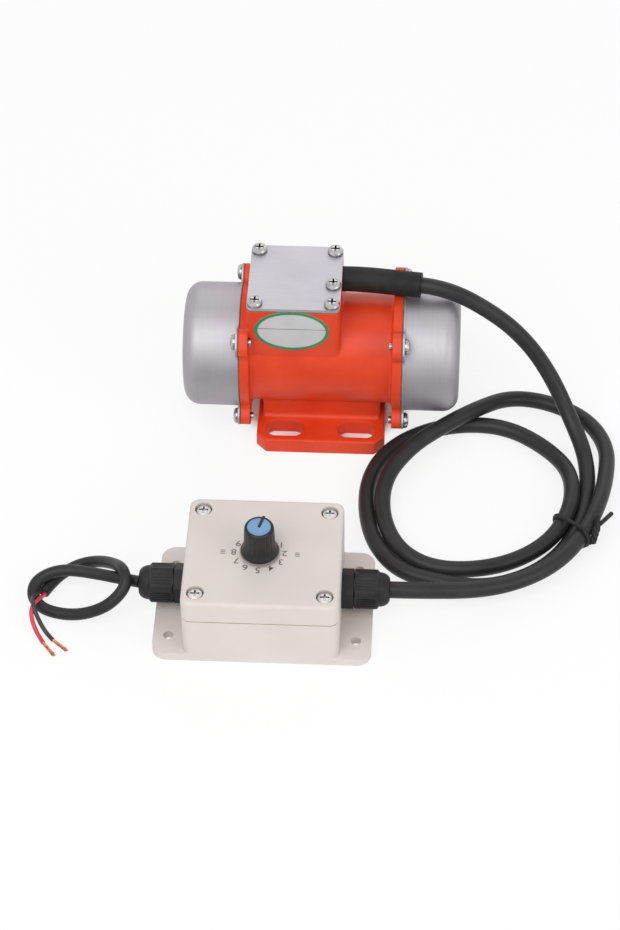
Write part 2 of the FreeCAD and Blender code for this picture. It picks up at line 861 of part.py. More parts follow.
def terminal_gasket():
    ring = rounded_box(box_left, box_right, -box_depth / 2, box_depth / 2, box_top, box_top + box_gasket,
                       plate_corner)
    opening = terminal_cavity()
    return ring.cut(opening).cut(plate_holes(box_top, box_gasket))


def terminal_screws():
    seat = box_top + box_gasket + plate_thickness
    return group([pan_screw(plate_head_radius, plate_head_height, plate_screw_radius, plate_screw_length,
                            vec(x, y, seat), z_axis)
                  for x, y in plate_screw_spots()])


def terminal_block():
    body = box_at(block_x - block_length / 2, block_x + block_length / 2, block_y - block_depth / 2,
                  block_y + block_depth / 2, box_floor, box_floor + block_height)
    cuts = []
    screw_level = box_floor + block_height - 1.0
    entry_start = block_face() - 2.5
    for x in pole_places():
        cuts.append(Part.makeCylinder(block_screw_radius, 4.0, vec(x, block_y, screw_level)))
        cuts.append(Part.makeCylinder(core_radius + 3 * thread_gap, 3.0, vec(x, entry_start, entry_level()),
                                      y_axis))
    return body.cut(group(cuts))


def pole_places():
    pitch = block_length / block_poles
    return [block_x + pitch * (i - (block_poles - 1) / 2) for i in range(block_poles)]


def block_face():
    return block_y + block_depth / 2


def entry_level():
    return box_floor + block_entry_height


def motor_leads():
    # Three leads rise through the wire hole and bend into the block
    wires = []
    hole_x = wire_hole_x()
    for i, x in enumerate(pole_places()[:3]):
        y = (i - 1) * (core_pitch - thread_gap)
        points = [(hole_x, y, axis_height + bore_radius - 1.2), (hole_x + 0.05, y, entry_level() - 1.0),
                  (hole_x + (x - hole_x) * 0.6 + 0.3, y - 1.1, entry_level() + 0.4),
                  (x, block_face() + 1.6, entry_level() + 0.05), (x, block_face() - 2.0, entry_level())]
        wires.append(tube("", points, core_radius))
    return group(wires)


def cable_cores():
    wires = []
    for i, x in enumerate(reversed(pole_places()[3:])):
        y = boot_y + (i - 1) * core_pitch
        points = [(boot_inside - boot_flange, y, boot_z), (x + 2.5, y, boot_z - 0.3),
                  (x, y - 2.6, entry_level() + 2.3), (x, block_face() + 1.8, entry_level() + 0.05),
                  (x, block_face() - 2.0, entry_level())]
        wires.append(tube("", points, core_radius))
    return group(wires)


boot_points = [(boot_inside - boot_flange, boot_y, boot_z), (box_right + boot_straight, boot_y, boot_z),
               (box_right + boot_straight + boot_reach, boot_y - boot_sway, boot_z + boot_rise)]


def cable_boot():
    sleeve = tube("", boot_points, boot_radius)
    wall = boot_collar(boot_inside, box_wall, boot_neck_radius - thread_gap)
    lip = boot_collar(boot_inside - boot_flange - 1, boot_flange + 1, boot_lip_radius)
    return sleeve.cut(group([wall, lip])).cut(tube("", boot_points, output_cable_radius + fit_gap))


def boot_collar(start, length, inner):
    # What is cut from the sleeve's outside over a stretch of its length
    spot = vec(start, boot_y, boot_z)
    ring = Part.makeCylinder(boot_radius + 2, length, spot, x_axis)
    return ring.cut(Part.makeCylinder(inner, length, spot, x_axis))


# Controller case
def case_box(low, high, wall):
    x0 = case_x - case_length / 2 + wall
    y0 = case_y - case_depth / 2 + wall
    return rounded_box(x0, 2 * case_x - x0, y0, 2 * case_y - y0, low, high, case_corner - wall)


def lid_screw_spots():
    return [(case_x + sx * lid_screw_spacing_x / 2, case_y + sy * lid_screw_spacing_y / 2)
            for sx in (-1, 1) for sy in (-1, 1)]


def ear_hole_spots():
    return [(case_x + sx * ear_hole_spacing_x / 2, case_y + sy * ear_hole_spacing_y / 2)
            for sx in (-1, 1) for sy in (-1, 1)]


def board_hole_spots():
    return [(case_x + sx * board_hole_spacing_x / 2, case_y + sy * board_hole_spacing_y / 2)
            for sx in (-1, 1) for sy in (-1, 1)]


def controller_base():
    ears = rounded_box(case_x - ear_total / 2, case_x + ear_total / 2, case_y - case_depth / 2,
                       case_y + case_depth / 2, 0, ear_thickness, ear_corner)
    body = case_box(0, lid_bottom, 0)
    body = body.makeChamfer(seam_edge, [e for e in body.Edges if e.CenterOfMass.z > lid_bottom - 0.01])
    shell = joined([body, ears])
    shell = shell.cut(case_box(case_wall, lid_bottom + 1, case_wall))
    room = case_box(case_wall / 2, lid_bottom, case_wall / 2)
    posts = [Part.makeCylinder(lid_post_radius, lid_bottom - case_wall / 2, vec(x, y, case_wall / 2))
             for x, y in lid_screw_spots()]
    posts += [Part.makeCylinder(board_post_radius, board_standoff + case_wall / 2, vec(x, y, case_wall / 2))
              for x, y in board_hole_spots()]
    shell = joined([shell, joined(posts).common(room)])
    cuts = [Part.makeCylinder(ear_hole_radius, ear_thickness, vec(x, y, 0)) for x, y in ear_hole_spots()]
    top = case_height - lid_head_recess
    cuts += [Part.makeCylinder(lid_screw_radius + thread_gap, lid_screw_length,
                               vec(x, y, top - lid_screw_length)) for x, y in lid_screw_spots()]
    cuts += [Part.makeCylinder(board_screw_radius + thread_gap, board_standoff, vec(x, y, case_wall))
             for x, y in board_hole_spots()]
    cuts.append(Part.makeCylinder(gland_thread_radius + thread_gap, case_length + 2,
                                  vec(gland_left - 1, case_y, gland_height), x_axis))
    return shell.cut(group(cuts))


def seal_ring():
    return case_box(lid_bottom, lid_bottom + seal_thickness, case_wall * 0.25).cut(
        case_box(lid_bottom - 1, lid_bottom + 3, case_wall * 0.75)).cut(
        group([Part.makeCylinder(lid_screw_radius + slip_gap, 5, vec(x, y, lid_bottom - 1))
               for x, y in lid_screw_spots()]))


def controller_lid():
    lid = case_box(lid_bottom, case_height, 0)
    rims = [e for e in lid.Edges if e.CenterOfMass.z > case_height - 0.01]
    lid = lid.makeFillet(lid_edge, rims)
    lid = lid.makeChamfer(seam_edge, [e for e in lid.Edges if e.CenterOfMass.z < lid_bottom + 0.01])
    lid = lid.cut(case_box(lid_bottom - 1, case_height - case_wall, case_wall))
    room = case_box(lid_bottom, case_height - case_wall / 2, case_wall / 2)
    posts = [Part.makeCylinder(lid_post_radius, lid_height - case_wall / 2, vec(x, y, lid_bottom))
             for x, y in lid_screw_spots()]
    lid = joined([lid, joined(posts).common(room)])
    groove = case_box(lid_bottom - 1, lid_bottom + seal_thickness, case_wall * 0.25).cut(
        case_box(lid_bottom - 2, lid_bottom + 3, case_wall * 0.75))
    cuts = [groove]
    for x, y in lid_screw_spots():
        cuts.append(Part.makeCylinder(lid_screw_radius + thread_gap, lid_height, vec(x, y, lid_bottom)))
        cuts.append(Part.makeCylinder(lid_head_radius + slip_gap, lid_head_recess,
                                      vec(x, y, case_height - lid_head_recess)))
    cuts.append(Part.makeCylinder(pot_bush_radius + thread_gap, 6, vec(knob_x, knob_y, case_height - 5)))
    return lid.cut(group(cuts))


def lid_screws():
    seat = case_height - lid_head_recess
    return group([pan_screw(lid_head_radius, lid_head_height, lid_screw_radius, lid_screw_length,
                            vec(x, y, seat), z_axis) for x, y in lid_screw_spots()])


def control_board():
    board = box_at(case_x - board_length / 2, case_x + board_length / 2, case_y - board_depth / 2,
                   case_y + board_depth / 2, board_low, board_top)
    cuts = [Part.makeCylinder(board_screw_radius + thread_gap, board_thickness, vec(x, y, board_low))
            for x, y in board_hole_spots()]
    cuts += [Part.makeCylinder(lid_post_radius + slip_gap, board_thickness, vec(x, y, board_low))
             for x, y in lid_screw_spots()]
    return board.cut(group(cuts))


def board_screws():
    profile = [(-board_screw_length, 0), (-board_screw_length, board_screw_radius), (0, board_screw_radius),
               (0, board_head_radius), (board_head_height, board_head_radius), (board_head_height, 0)]
    return group([turned(profile, vec(x, y, board_top), z_axis) for x, y in board_hole_spots()])


def on_board(x, y, length, depth, height):
    # A block that stands on the board, placed from the case's centre
    return box_at(case_x + x - length / 2, case_x + x + length / 2, case_y + y - depth / 2,
                  case_y + y + depth / 2, board_top, board_top + height)


def board_capacitors():
    # Two electrolytic cans side by side behind the potentiometer
    rim = can_radius * 0.15
    profile = [(0, 0), (0, can_radius), (can_height - rim, can_radius), (can_height, can_radius - rim),
               (can_height, 0)]
    reach = can_radius + can_gap / 2
    y = case_y + board_depth / 2 - can_edge
    return group([turned(profile, vec(case_x + side * reach, y, board_top), z_axis) for side in (-1, 1)])


def board_transistors():
    # A row of power transistors along the front edge
    middle = (transistor_count - 1) / 2
    y = transistor_edge - board_depth / 2
    width = transistor_pitch - transistor_gap
    return group([on_board((i - middle) * transistor_pitch, y, width, transistor_depth, transistor_height)
                  for i in range(transistor_count)])


def board_chip():
    return on_board(0, chip_offset_y, chip_length, chip_depth, chip_height)


def board_terminals():
    x = board_length / 2 - terminal_inset
    y = board_depth / 2 - terminal_edge
    return group([on_board(side * x, y, terminal_length, poles * terminal_pitch, terminal_height)
                  for side, poles in ((1, 3), (-1, 2))])


def pot_body():
    top = case_height - case_wall
    can = Part.makeCylinder(pot_radius, pot_depth, vec(knob_x, knob_y, top - pot_depth))
    bush = Part.makeCylinder(pot_bush_radius, pot_bush_height, vec(knob_x, knob_y, top))
    legs = []
    for x in (knob_x - pot_leg_pitch, knob_x, knob_x + pot_leg_pitch):
        legs.append(box_at(x - pot_leg_width / 2, x + pot_leg_width / 2, knob_y - pot_radius - pot_leg_length,
                           knob_y - pot_radius / 2, top - pot_depth + 0.8, top - pot_depth + 1.6))
    body = joined([can, bush] + legs)
    return body.cut(Part.makeCylinder(pot_shaft_radius + slip_gap / 3, pot_bush_height + pot_depth / 2,
                                      vec(knob_x, knob_y, top - pot_depth / 2)))


def pot_nut():
    nut = put(hexagon(pot_nut_flats, pot_nut_height), vec(knob_x, knob_y, case_height), z_axis)
    return nut.cut(Part.makeCylinder(pot_bush_radius + fit_gap, 5, vec(knob_x, knob_y, case_height - 1)))


def pot_shaft():
    low = case_height - case_wall - pot_depth / 2 + 0.3
    high = case_height + knob_lift + knob_height - knob_web
    return Part.makeCylinder(pot_shaft_radius, high - low, vec(knob_x, knob_y, low))


def knob():
    low = case_height + knob_lift
    high = knob_height
    top = knob_top_radius
    # The skirt flares out in a hollow curve below the straight grip
    band = knob_skirt * 0.2
    flare = [(band + (knob_skirt - band) * i / 5, top + 0.2 + (knob_radius - top - 0.2) * (1 - i / 5) ** 2)
             for i in range(6)]
    profile = [(0, 0), (0, knob_radius)] + flare
    profile += [(high - 0.8, top - 0.2), (high - 0.3, top - 0.4), (high, top - 0.8), (high, 0)]
    body = turned(profile, vec(knob_x, knob_y, low), z_axis)
    rib = Part.makeCylinder(knob_rib_radius, high, vec(knob_x + top + 0.45, knob_y, low + knob_skirt * 0.6))
    body = body.cut(group(around(rib, knob_ribs, vec(knob_x, knob_y, 0), z_axis)))
    shaft_hole = Part.makeCylinder(pot_shaft_radius + fit_gap, high - knob_web + fit_gap,
                                   vec(knob_x, knob_y, low))
    nut_room = Part.makeCylinder(pot_nut_flats / math.sqrt(3) + slip_gap,
                                 pot_nut_height + pot_bush_height - case_wall - knob_lift,
                                 vec(knob_x, knob_y, low))
    cap_room = Part.makeCylinder(knob_cap_radius + fit_gap, knob_cap_seat,
                                 vec(knob_x, knob_y, low + high - knob_cap_seat))
    return body.cut(group([shaft_hole, nut_room, cap_room]))


def knob_cap():
    low = case_height + knob_lift + knob_height - knob_cap_seat
    radius = knob_cap_radius
    return turned([(0, 0), (0, radius), (knob_cap_height - 0.3, radius), (knob_cap_height, radius - 0.4),
                   (knob_cap_height, 0)], vec(knob_x, knob_y, low), z_axis)


# Cable gland, made along +Z from the outer face of the wall, then set in the wall
def gland_body():
    inner = case_wall + gland_shank
    length = inner + gland_flange + gland_thread_length
    thread = Part.makeCylinder(gland_thread_radius, length, vec(0, 0, -inner))
    body = joined([hexagon(gland_hex, gland_flange), thread])
    bore = Part.makeCylinder(gland_bore, length, vec(0, 0, -inner))
    seat = Part.makeCylinder(gland_bore + gland_seal_wall + 2 * thread_gap, gland_thread_length,
                             vec(0, 0, gland_flange + 1.6))
    return body.cut(bore).cut(seat)


def gland_seal(cable_radius):
    low = gland_flange + 1.8
    high = gland_flange + gland_nut_length - 1.0
    outer = gland_bore + gland_seal_wall
    return turned([(low, cable_radius), (low, outer), (high, outer), (high, cable_radius)], vec(0, 0, 0),
                  z_axis)


def gland_nut(cable_radius, turn):
    # A six-sided nut with grooved flats and a rounded end that closes on the cable
    low = gland_flange + 3 * thread_gap
    high = gland_flange + gland_nut_length
    bore = cable_radius + 0.35
    room = gland_thread_radius + thread_gap
    flat = gland_nut_flats / 2
    sides = 6
    grip = turned([(low, room), (low, flat), (low + 0.5, gland_nut_corner), (high - 0.8, gland_nut_corner),
                   (high, gland_dome_radius), (high, room)], vec(0, 0, 0), z_axis)
    grip = grip.common(hexagon(gland_nut_flats, high))
    grooves = []
    for i in range(gland_ribs):
        y = (i - (gland_ribs - 1) / 2) * gland_rib_pitch
        grooves.append(box_at(flat - gland_rib_depth, flat + 1, y - gland_rib_width / 2,
                              y + gland_rib_width / 2, low + 1.2, high - 1.4))
    flats = []
    for groove in grooves:
        flats += around(groove, sides, vec(0, 0, 0), z_axis, 180 / sides)
    grip = grip.cut(group(flats))
    steps = 6
    end = high + gland_dome_length
    widest = gland_dome_radius - 0.2
    dome = []
    for i in range(steps + 1):
        angle = math.pi / 2 * i / steps
        dome.append((high + gland_dome_length * math.sin(angle),
                     widest - gland_dome_round * (1 - math.cos(angle))))
    cap = turned([(high - 0.6, bore), (high - 0.6, widest)] + dome + [(end, bore + 0.8), (end - 0.8, bore)],
                 vec(0, 0, 0), z_axis)
    nut = joined([grip, cap])
    nut.rotate(vec(0, 0, 0), z_axis, turn)
    return nut


def gland_locknut():
    low = -case_wall - locknut_height
    nut = hexagon(gland_hex + 1.0, locknut_height)
    nut = nut.cut(Part.makeCylinder(gland_thread_radius + thread_gap, locknut_height))
    nut.translate(vec(0, 0, low))
    return nut


def gland_at(shape, side):
    wall = gland_right if side > 0 else gland_left
    return put(shape, vec(wall, case_y, gland_height), vec(side, 0, 0))


def nut_turn(side):
    # Turns one flat of the nut to the angle over the floor, in front, that it was tightened to
    return -side * (150 + gland_turns[side])


def gland_mouth():
    return gland_flange + gland_nut_length + gland_dome_length


# Cable routes, from the motor to the controller and on to the two bare wires
motor_side_points = [boot_points[-1], (54.5, 2.2, 66.6), (65.2, 0.9, 61.8), (74.6, 0.6, 54.6),
                     (83.0, 0.7, 45.2), (90.3, 2.4, 33.8), (97.4, 0.3, 23.3), (103.8, -5.9, 14.4),
                     (109.0, -15.2, 8.0), (113.4, -25.6, 5.4)]
controller_side_points = [(101.0, -95.0, 4.6), (91.0, -102.4, 3.9), (81.0, -107.9, 3.8), (71.0, -112.2, 4.9),
                          (62.5, -115.8, 7.3), (53.5, -119.4, 11.0), (44.0, -121.5, 13.7),
                          (gland_right + gland_mouth(), case_y, gland_height)]
input_points = [(gland_left - gland_mouth(), case_y, gland_height), (-78.6, -120.4, 13.2),
                (-87.1, -115.8, 11.2), (-95.6, -112.4, 9.6), (-103.4, -110.4, 8.8), (-110.5, -110.8, 8.0),
                (-115.2, -114.5, 6.0), (-116.5, -120.5, 3.9), (-113.8, -126.2, 2.7), (-107.7, -129.8, 2.7),
                (-98.6, -131.0, 3.0), (-89.8, -131.5, 5.9), (-81.7, -130.6, 11.7), (-78.0, -123.9, 17.4),
                (-77.3, -115.7, 16.1), (-80.9, -108.5, 10.7), (-87.9, -103.1, 5.8), (-96.4, -101.5, 2.9),
                (-103.6, -104.9, 2.6), (-108.5, -111.1, 2.6), (-112.0, -117.4, 2.6)]
red_points = [(-111.3, -118.6, 2.6), (-110.9, -122.9, 4.8), (-112.6, -127.0, 6.6), (-113.4, -132.2, 4.2),
              (-111.4, -138.5, 1.0), (-108.4, -145.0, 1.0)]
black_points = [(-113.0, -117.9, 2.8), (-112.9, -121.5, 6.0), (-113.6, -126.6, 8.8), (-112.5, -131.7, 6.8),
                (-109.2, -136.9, 1.7), (-104.4, -142.8, 1.0)]


def straight_tail(side, cable_radius):
    # The cable where a gland holds it, from inside the case to the mouth
    inner = -case_wall - gland_shank - 2
    return gland_at(Part.makeCylinder(cable_radius, gland_mouth() - inner, vec(0, 0, inner)), side)


# The outer shape of the tied loops, with the opening that they leave
coil_outside = [(18.0, -64.0), (23.0, -37.5), (38.0, -23.0), (57.0, -14.0), (71.0, -1.0), (88.0, 5.0),
                (107.0, -1.5), (122.0, -14.5), (127.6, -32.0), (123.4, -58.0), (115.0, -82.0), (99.0, -99.0),
                (77.0, -107.0), (56.0, -108.2), (36.5, -105.0), (24.0, -89.0)]
coil_inside = [(32.0, -60.0), (43.0, -33.5), (60.0, -21.0), (80.0, -21.0), (99.0, -35.0), (105.6, -52.0),
               (101.0, -71.0), (87.0, -86.0), (66.0, -94.0), (43.0, -87.0)]


def closed_face(points, z):
    curve = Part.BSplineCurve()
    curve.interpolate([vec(x, y, z) for x, y in points], PeriodicFlag=True)
    return Part.Face(Part.Wire([curve.toShape()]))


def output_coil():
    outer = closed_face(coil_outside, coil_bottom).extrude(vec(0, 0, coil_height))
    inner = closed_face(coil_inside, coil_bottom - 1).extrude(vec(0, 0, coil_height + 2))
    ring = outer.cut(inner)
    for room in (shaft_tube(flange_inner, cover_end + 1, cover_radius + 1.0),
                 shaft_tube(flange_inner - 1, flange_face + 6, lug_reach + 0.6)):
        ring = ring.cut(room)
    return ring


def twist_tie():
    # A band round the bundle, with its ends twisted together and splayed
    across = vec(*tie_across, 0).normalize()
    along = vec(-across.y, across.x, 0)
    centre = vec(tie_centre[0], tie_centre[1], 0)
    outer_z = coil_bottom + coil_height + tie_thickness
    frame = box_at(-tie_reach / 2, tie_reach / 2, -tie_band / 2, tie_band / 2, 0, outer_z)
    room = box_at(-tie_reach / 2 + tie_thickness, tie_reach / 2 - tie_thickness, -tie_band, tie_band,
                  tie_thickness, outer_z - tie_thickness)
    frame = frame.cut(room)
    frame.rotate(vec(0, 0, 0), z_axis, math.degrees(math.atan2(across.y, across.x)))
    frame.translate(centre)
    root = centre + across * (tie_reach / 2) + vec(0, 0, outer_z / 2)
    knot = root + across * 0.9 + along * tie_knot_length + vec(0, 0, 2.4)
    stem = Part.makeCylinder(tie_knot_radius, root.distanceToPoint(knot), root, knot - root)
    ends = []
    for tip in (knot + vec(5.8, 7.2, 3.0), knot + vec(0.5, 4.7, 3.0)):
        ends.append(Part.makeCylinder(tie_end_radius, knot.distanceToPoint(tip), knot, tip - knot))
    return joined([frame, stem, Part.makeSphere(tie_knot_radius, knot)] + ends)


def strand_tips():
    tips = []
    for route in (red_points, black_points):
        end = vec(*route[-1])
        ahead = end - vec(*route[-2])
        level = vec(ahead.x, ahead.y, 0)
        drop = abs(ahead.z) / level.Length
        level.normalize()
        start = end + level * (strand_radius * drop)
        tips.append(Part.makeCylinder(strand_radius, strand_length, start, level))
    return group(tips)


def build():
    nodes = {
        "motor_housing": motor_housing(),
        "stator_core": stator_core(),
        "stator_windings": stator_windings(),
        "hall_board": hall_board(),
        "rotor_shaft": rotor_shaft(),
        "rotor_core": rotor_core(),
        "rotor_magnets": rotor_magnets(),
        "terminal_plate": terminal_plate(),
        "terminal_gasket": terminal_gasket(),
        "terminal_screws": terminal_screws(),
        "terminal_block": terminal_block(),
        "motor_leads": motor_leads(),
        "cable_boot": cable_boot(),
        "boot_cable": group([tube("boot_cable", boot_points, output_cable_radius), cable_cores()]),
        "controller_base": controller_base(),
        "controller_lid": controller_lid(),
        "lid_seal": seal_ring(),
        "lid_screws": lid_screws(),
        "control_board": group([control_board(), board_chip()]),
        "board_screws": board_screws(),
        "board_capacitors": board_capacitors(),
        "board_transistors": board_transistors(),
        "board_terminals": board_terminals(),
        "pot_body": pot_body(),
        "pot_nut": pot_nut(),
        "pot_shaft": pot_shaft(),
        "knob": knob(),
        "knob_cap": knob_cap(),
        "output_cable_upper": tube("output_cable_upper", motor_side_points, output_cable_radius),
        "output_cable_coil": output_coil(),
        "output_cable_lower": tube("output_cable_lower", controller_side_points, output_cable_radius),
        "twist_tie": twist_tie(),
        "input_cable": tube("input_cable", input_points, input_cable_radius),
        "red_wire": tube("red_wire", red_points, wire_radius),
        "black_wire": tube("black_wire", black_points, wire_radius),
        "wire_strands": strand_tips(),
    }
    pairs = {
        "cover_gasket": cover_gasket(),
        "end_cover": end_cover(),
        "cover_screws": cover_screws(),
        "end_shield": end_shield(),
        "shield_screws": shield_screws(),
        "bearing_outer": bearing_ring(bearing_outer / 2, outer_land),
        "bearing_inner": bearing_ring(inner_land, bearing_bore / 2),
        "bearing_cage": bearing_cage(),
        "eccentric_weight": group([eccentric_weight(), clamp_screw(), weight_spacer(), circlip()]),
    }
    for name, shape in pairs.items():
        nodes[name + "_right"] = shape
        nodes[name + "_left"] = mirrored(shape)
    seals = []
    tails = []
    for name, side, cable_radius in (("output", 1, output_cable_radius), ("input", -1, input_cable_radius)):
        nodes[name + "_gland_body"] = gland_at(group([gland_body(), gland_locknut()]), side)
        nodes[name + "_gland_nut"] = gland_at(gland_nut(cable_radius, nut_turn(side)), side)
        seals.append(gland_at(gland_seal(cable_radius + fit_gap), side))
        tails.append(straight_tail(side, cable_radius))
    nodes["gland_seals"] = group(seals)
    nodes["gland_cables"] = group(tails)
    return nodes


os.makedirs("parts", exist_ok=True)
all_nodes = build()
for node_name, node_shape in all_nodes.items():
    node_shape.exportStep("parts/" + node_name + ".step")
print(len(all_nodes), "nodes")
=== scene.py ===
import bpy
import bmesh
import json
import math
from mathutils import Matrix, Vector


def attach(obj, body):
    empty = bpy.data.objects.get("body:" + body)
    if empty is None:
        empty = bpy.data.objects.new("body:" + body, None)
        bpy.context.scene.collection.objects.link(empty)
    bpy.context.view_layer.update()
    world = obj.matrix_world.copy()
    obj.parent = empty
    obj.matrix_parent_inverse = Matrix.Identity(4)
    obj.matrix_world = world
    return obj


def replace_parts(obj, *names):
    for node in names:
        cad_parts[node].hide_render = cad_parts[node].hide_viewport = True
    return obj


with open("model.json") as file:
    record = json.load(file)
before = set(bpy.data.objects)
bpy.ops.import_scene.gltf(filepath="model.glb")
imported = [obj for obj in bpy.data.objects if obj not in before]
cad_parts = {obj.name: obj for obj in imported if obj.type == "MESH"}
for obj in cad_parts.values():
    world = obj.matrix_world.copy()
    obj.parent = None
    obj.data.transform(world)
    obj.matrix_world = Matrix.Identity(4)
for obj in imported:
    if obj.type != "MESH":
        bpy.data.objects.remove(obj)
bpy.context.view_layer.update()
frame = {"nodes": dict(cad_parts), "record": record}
mm = 0.001
fixedBody = "motor_and_controller"
print("frame loaded")


# camera

cameraSetup = {
    "place": (47.316, -863.632, 866.399),    # mm
    "azimuth": 3.56,
    "elevation": 46.37,
    "roll": -0.86,
    "lens": 106.72,
    "clip": (0.05, 20),
}


def makeCamera(setup):
    azimuth = math.radians(setup["azimuth"])
    elevation = math.radians(setup["elevation"])
    roll = math.radians(setup["roll"])
    back = Vector((math.sin(azimuth) * math.cos(elevation), -math.cos(azimuth) * math.cos(elevation),
                   math.sin(elevation)))
    right = Vector((math.cos(azimuth), math.sin(azimuth), 0))
    up = back.cross(right)
    turnedRight = math.cos(roll) * right + math.sin(roll) * up
    turnedUp = math.cos(roll) * up - math.sin(roll) * right
    data = bpy.data.cameras.new("camera")
    data.lens = setup["lens"]
    data.clip_start, data.clip_end = setup["clip"]
    camera = bpy.data.objects.new("camera", data)
    bpy.context.scene.collection.objects.link(camera)
    turn = Matrix((turnedRight, turnedUp, back)).transposed().to_4x4()
    camera.matrix_world = Matrix.Translation(Vector(setup["place"]) * mm) @ turn
    bpy.context.scene.camera = camera


makeCamera(cameraSetup)
bpy.context.scene.view_settings.view_transform = "Standard"
print("camera set")


# shader helper: sockets that take part in plain Python maths

class Field:
    def __init__(self, graph, socket):
        self.graph = graph
        self.socket = socket

    def maths(self, operation, first, second):
        return self.graph.node("ShaderNodeMath", {"operation": operation}, {0: first, 1: second})

    def __add__(self, other):
        return self.maths("ADD", self, other)

    def __radd__(self, other):
        return self.maths("ADD", other, self)

    def __rsub__(self, other):
        return self.maths("SUBTRACT", other, self)

    def __mul__(self, other):
        return self.maths("MULTIPLY", self, other)

    def __rmul__(self, other):
        return self.maths("MULTIPLY", other, self)


class Graph:
    def __init__(self, tree):
        self.tree = tree

    def node(self, kind, settings=None, inputs=None, output=0):
        made = self.tree.nodes.new(kind)
        for key, value in (settings or {}).items():
            setattr(made, key, value)
        for key, value in (inputs or {}).items():
            self.plug(made.inputs[key], value)
        return Field(self, made.outputs[output])

    def plug(self, socket, value):
        if isinstance(value, Field):
            self.tree.links.new(value.socket, socket)
        elif isinstance(value, tuple) and len(value) == 3 and socket.type == "RGBA":
            socket.default_value = (*value, 1.0)
        else:
            socket.default_value = value

    def lookRays(self):                      # camera, mirror and glass rays together
        share = self.node("ShaderNodeLightPath", output="Is Camera Ray")
        for ray in ("Is Glossy Ray", "Is Transmission Ray"):
            share = share.maths("MAXIMUM", share, self.node("ShaderNodeLightPath", output=ray))
        return share

    def blend(self, share, first, second, target):
        mixed = self.node("ShaderNodeMixShader", {}, {0: share, 1: first, 2: second})
        self.plug(target, mixed)


class Shader(Graph):
    def __init__(self, name):
        self.material = bpy.data.materials.new(name)
        self.material.use_nodes = True
        super().__init__(self.material.node_tree)
        self.surface = self.tree.nodes["Principled BSDF"]

    def finish(self, **values):
        for key, value in values.items():
            self.plug(self.surface.inputs[key.replace("_", " ")], value)
        return self.material

    def place(self, scale=(1, 1, 1)):        # object coordinates, in metres times the scale
        spot = self.node("ShaderNodeTexCoord", output="Object")
        return self.node("ShaderNodeMapping", {}, {"Vector": spot, "Scale": scale})

    def noise(self, scale, detail=3.0, stretch=(1, 1, 1)):
        return self.node("ShaderNodeTexNoise", {},
                         {"Vector": self.place(stretch), "Scale": scale, "Detail": detail})

    def tint(self, factor, first, second):   # colour mix
        return self.node("ShaderNodeMix", {"data_type": "RGBA"}, {0: factor, 6: first, 7: second}, output=2)

    def ramp(self, value, low, high):        # 0 below low, 1 above high
        return self.node("ShaderNodeMapRange", {"clamp": True},
                         {"Value": value, 1: low, 2: high, 3: 0.0, 4: 1.0})

    def clouded(self, value, colours, span=(0.3, 0.7)):      # two colours that change over within the span
        return self.tint(self.ramp(value, *span), *colours)

    def bump(self, height, strength, distance):
        return self.node("ShaderNodeBump", {}, {"Height": height, "Strength": strength, "Distance": distance})


# light: an even world, seen as plain white, and three round lamps that face the motor

studio = {
    "worldStrength": 0.52,
    "keyPower": 10.0,
    "keySize": 1.2,
    "keyPlace": (-0.35, -0.85, 1.2),
    "fillPower": 3.8,
    "fillSize": 0.9,
    "fillPlace": (0.95, -0.8, 0.75),
    "backPower": 1.5,
    "backPlace": (0.1, 0.9, 0.8),
    "aim": (0.0, -0.04, 0.02),
}


def areaLight(name, place, size, power, target):
    data = bpy.data.lights.new(name, "AREA")
    data.shape = "DISK"
    data.size = size
    data.energy = power
    lamp = bpy.data.objects.new(name, data)
    lamp.location = place
    lamp.rotation_euler = (Vector(target) - Vector(place)).to_track_quat("-Z", "Y").to_euler()
    bpy.context.scene.collection.objects.link(lamp)


def makeStudio(setup):
    world = bpy.data.worlds.new("studio")
    world.use_nodes = True
    bpy.context.scene.world = world
    graph = Graph(world.node_tree)
    light = graph.node("ShaderNodeBackground", {}, {"Color": (1, 1, 1), "Strength": setup["worldStrength"]})
    seen = graph.node("ShaderNodeBackground", {}, {"Color": (1, 1, 1), "Strength": 1.0})
    graph.blend(graph.lookRays(), light, seen, graph.tree.nodes["World Output"].inputs["Surface"])
    areaLight("keyLight", setup["keyPlace"], setup["keySize"], setup["keyPower"], setup["aim"])
    areaLight("fillLight", setup["fillPlace"], setup["fillSize"], setup["fillPower"], setup["aim"])
    areaLight("backLight", setup["backPlace"], setup["fillSize"], setup["backPower"], setup["aim"])


# the floor takes soft shadows near the motor and shines white elsewhere

floorSetup = {
    "half": 6.0,                             # metres
    "drop": 0.0001,                          # below the feet, so that the two don't flicker
    "white": 0.97,
    "rough": 0.9,
    "shadow": (0.2, 0.97),                   # share that takes shadows: in the open, and under the motor
    "reach": (0.033, 0.04),                  # distances from the motor's middle between those two
    "stretch": (1, 1.4, 1),
}


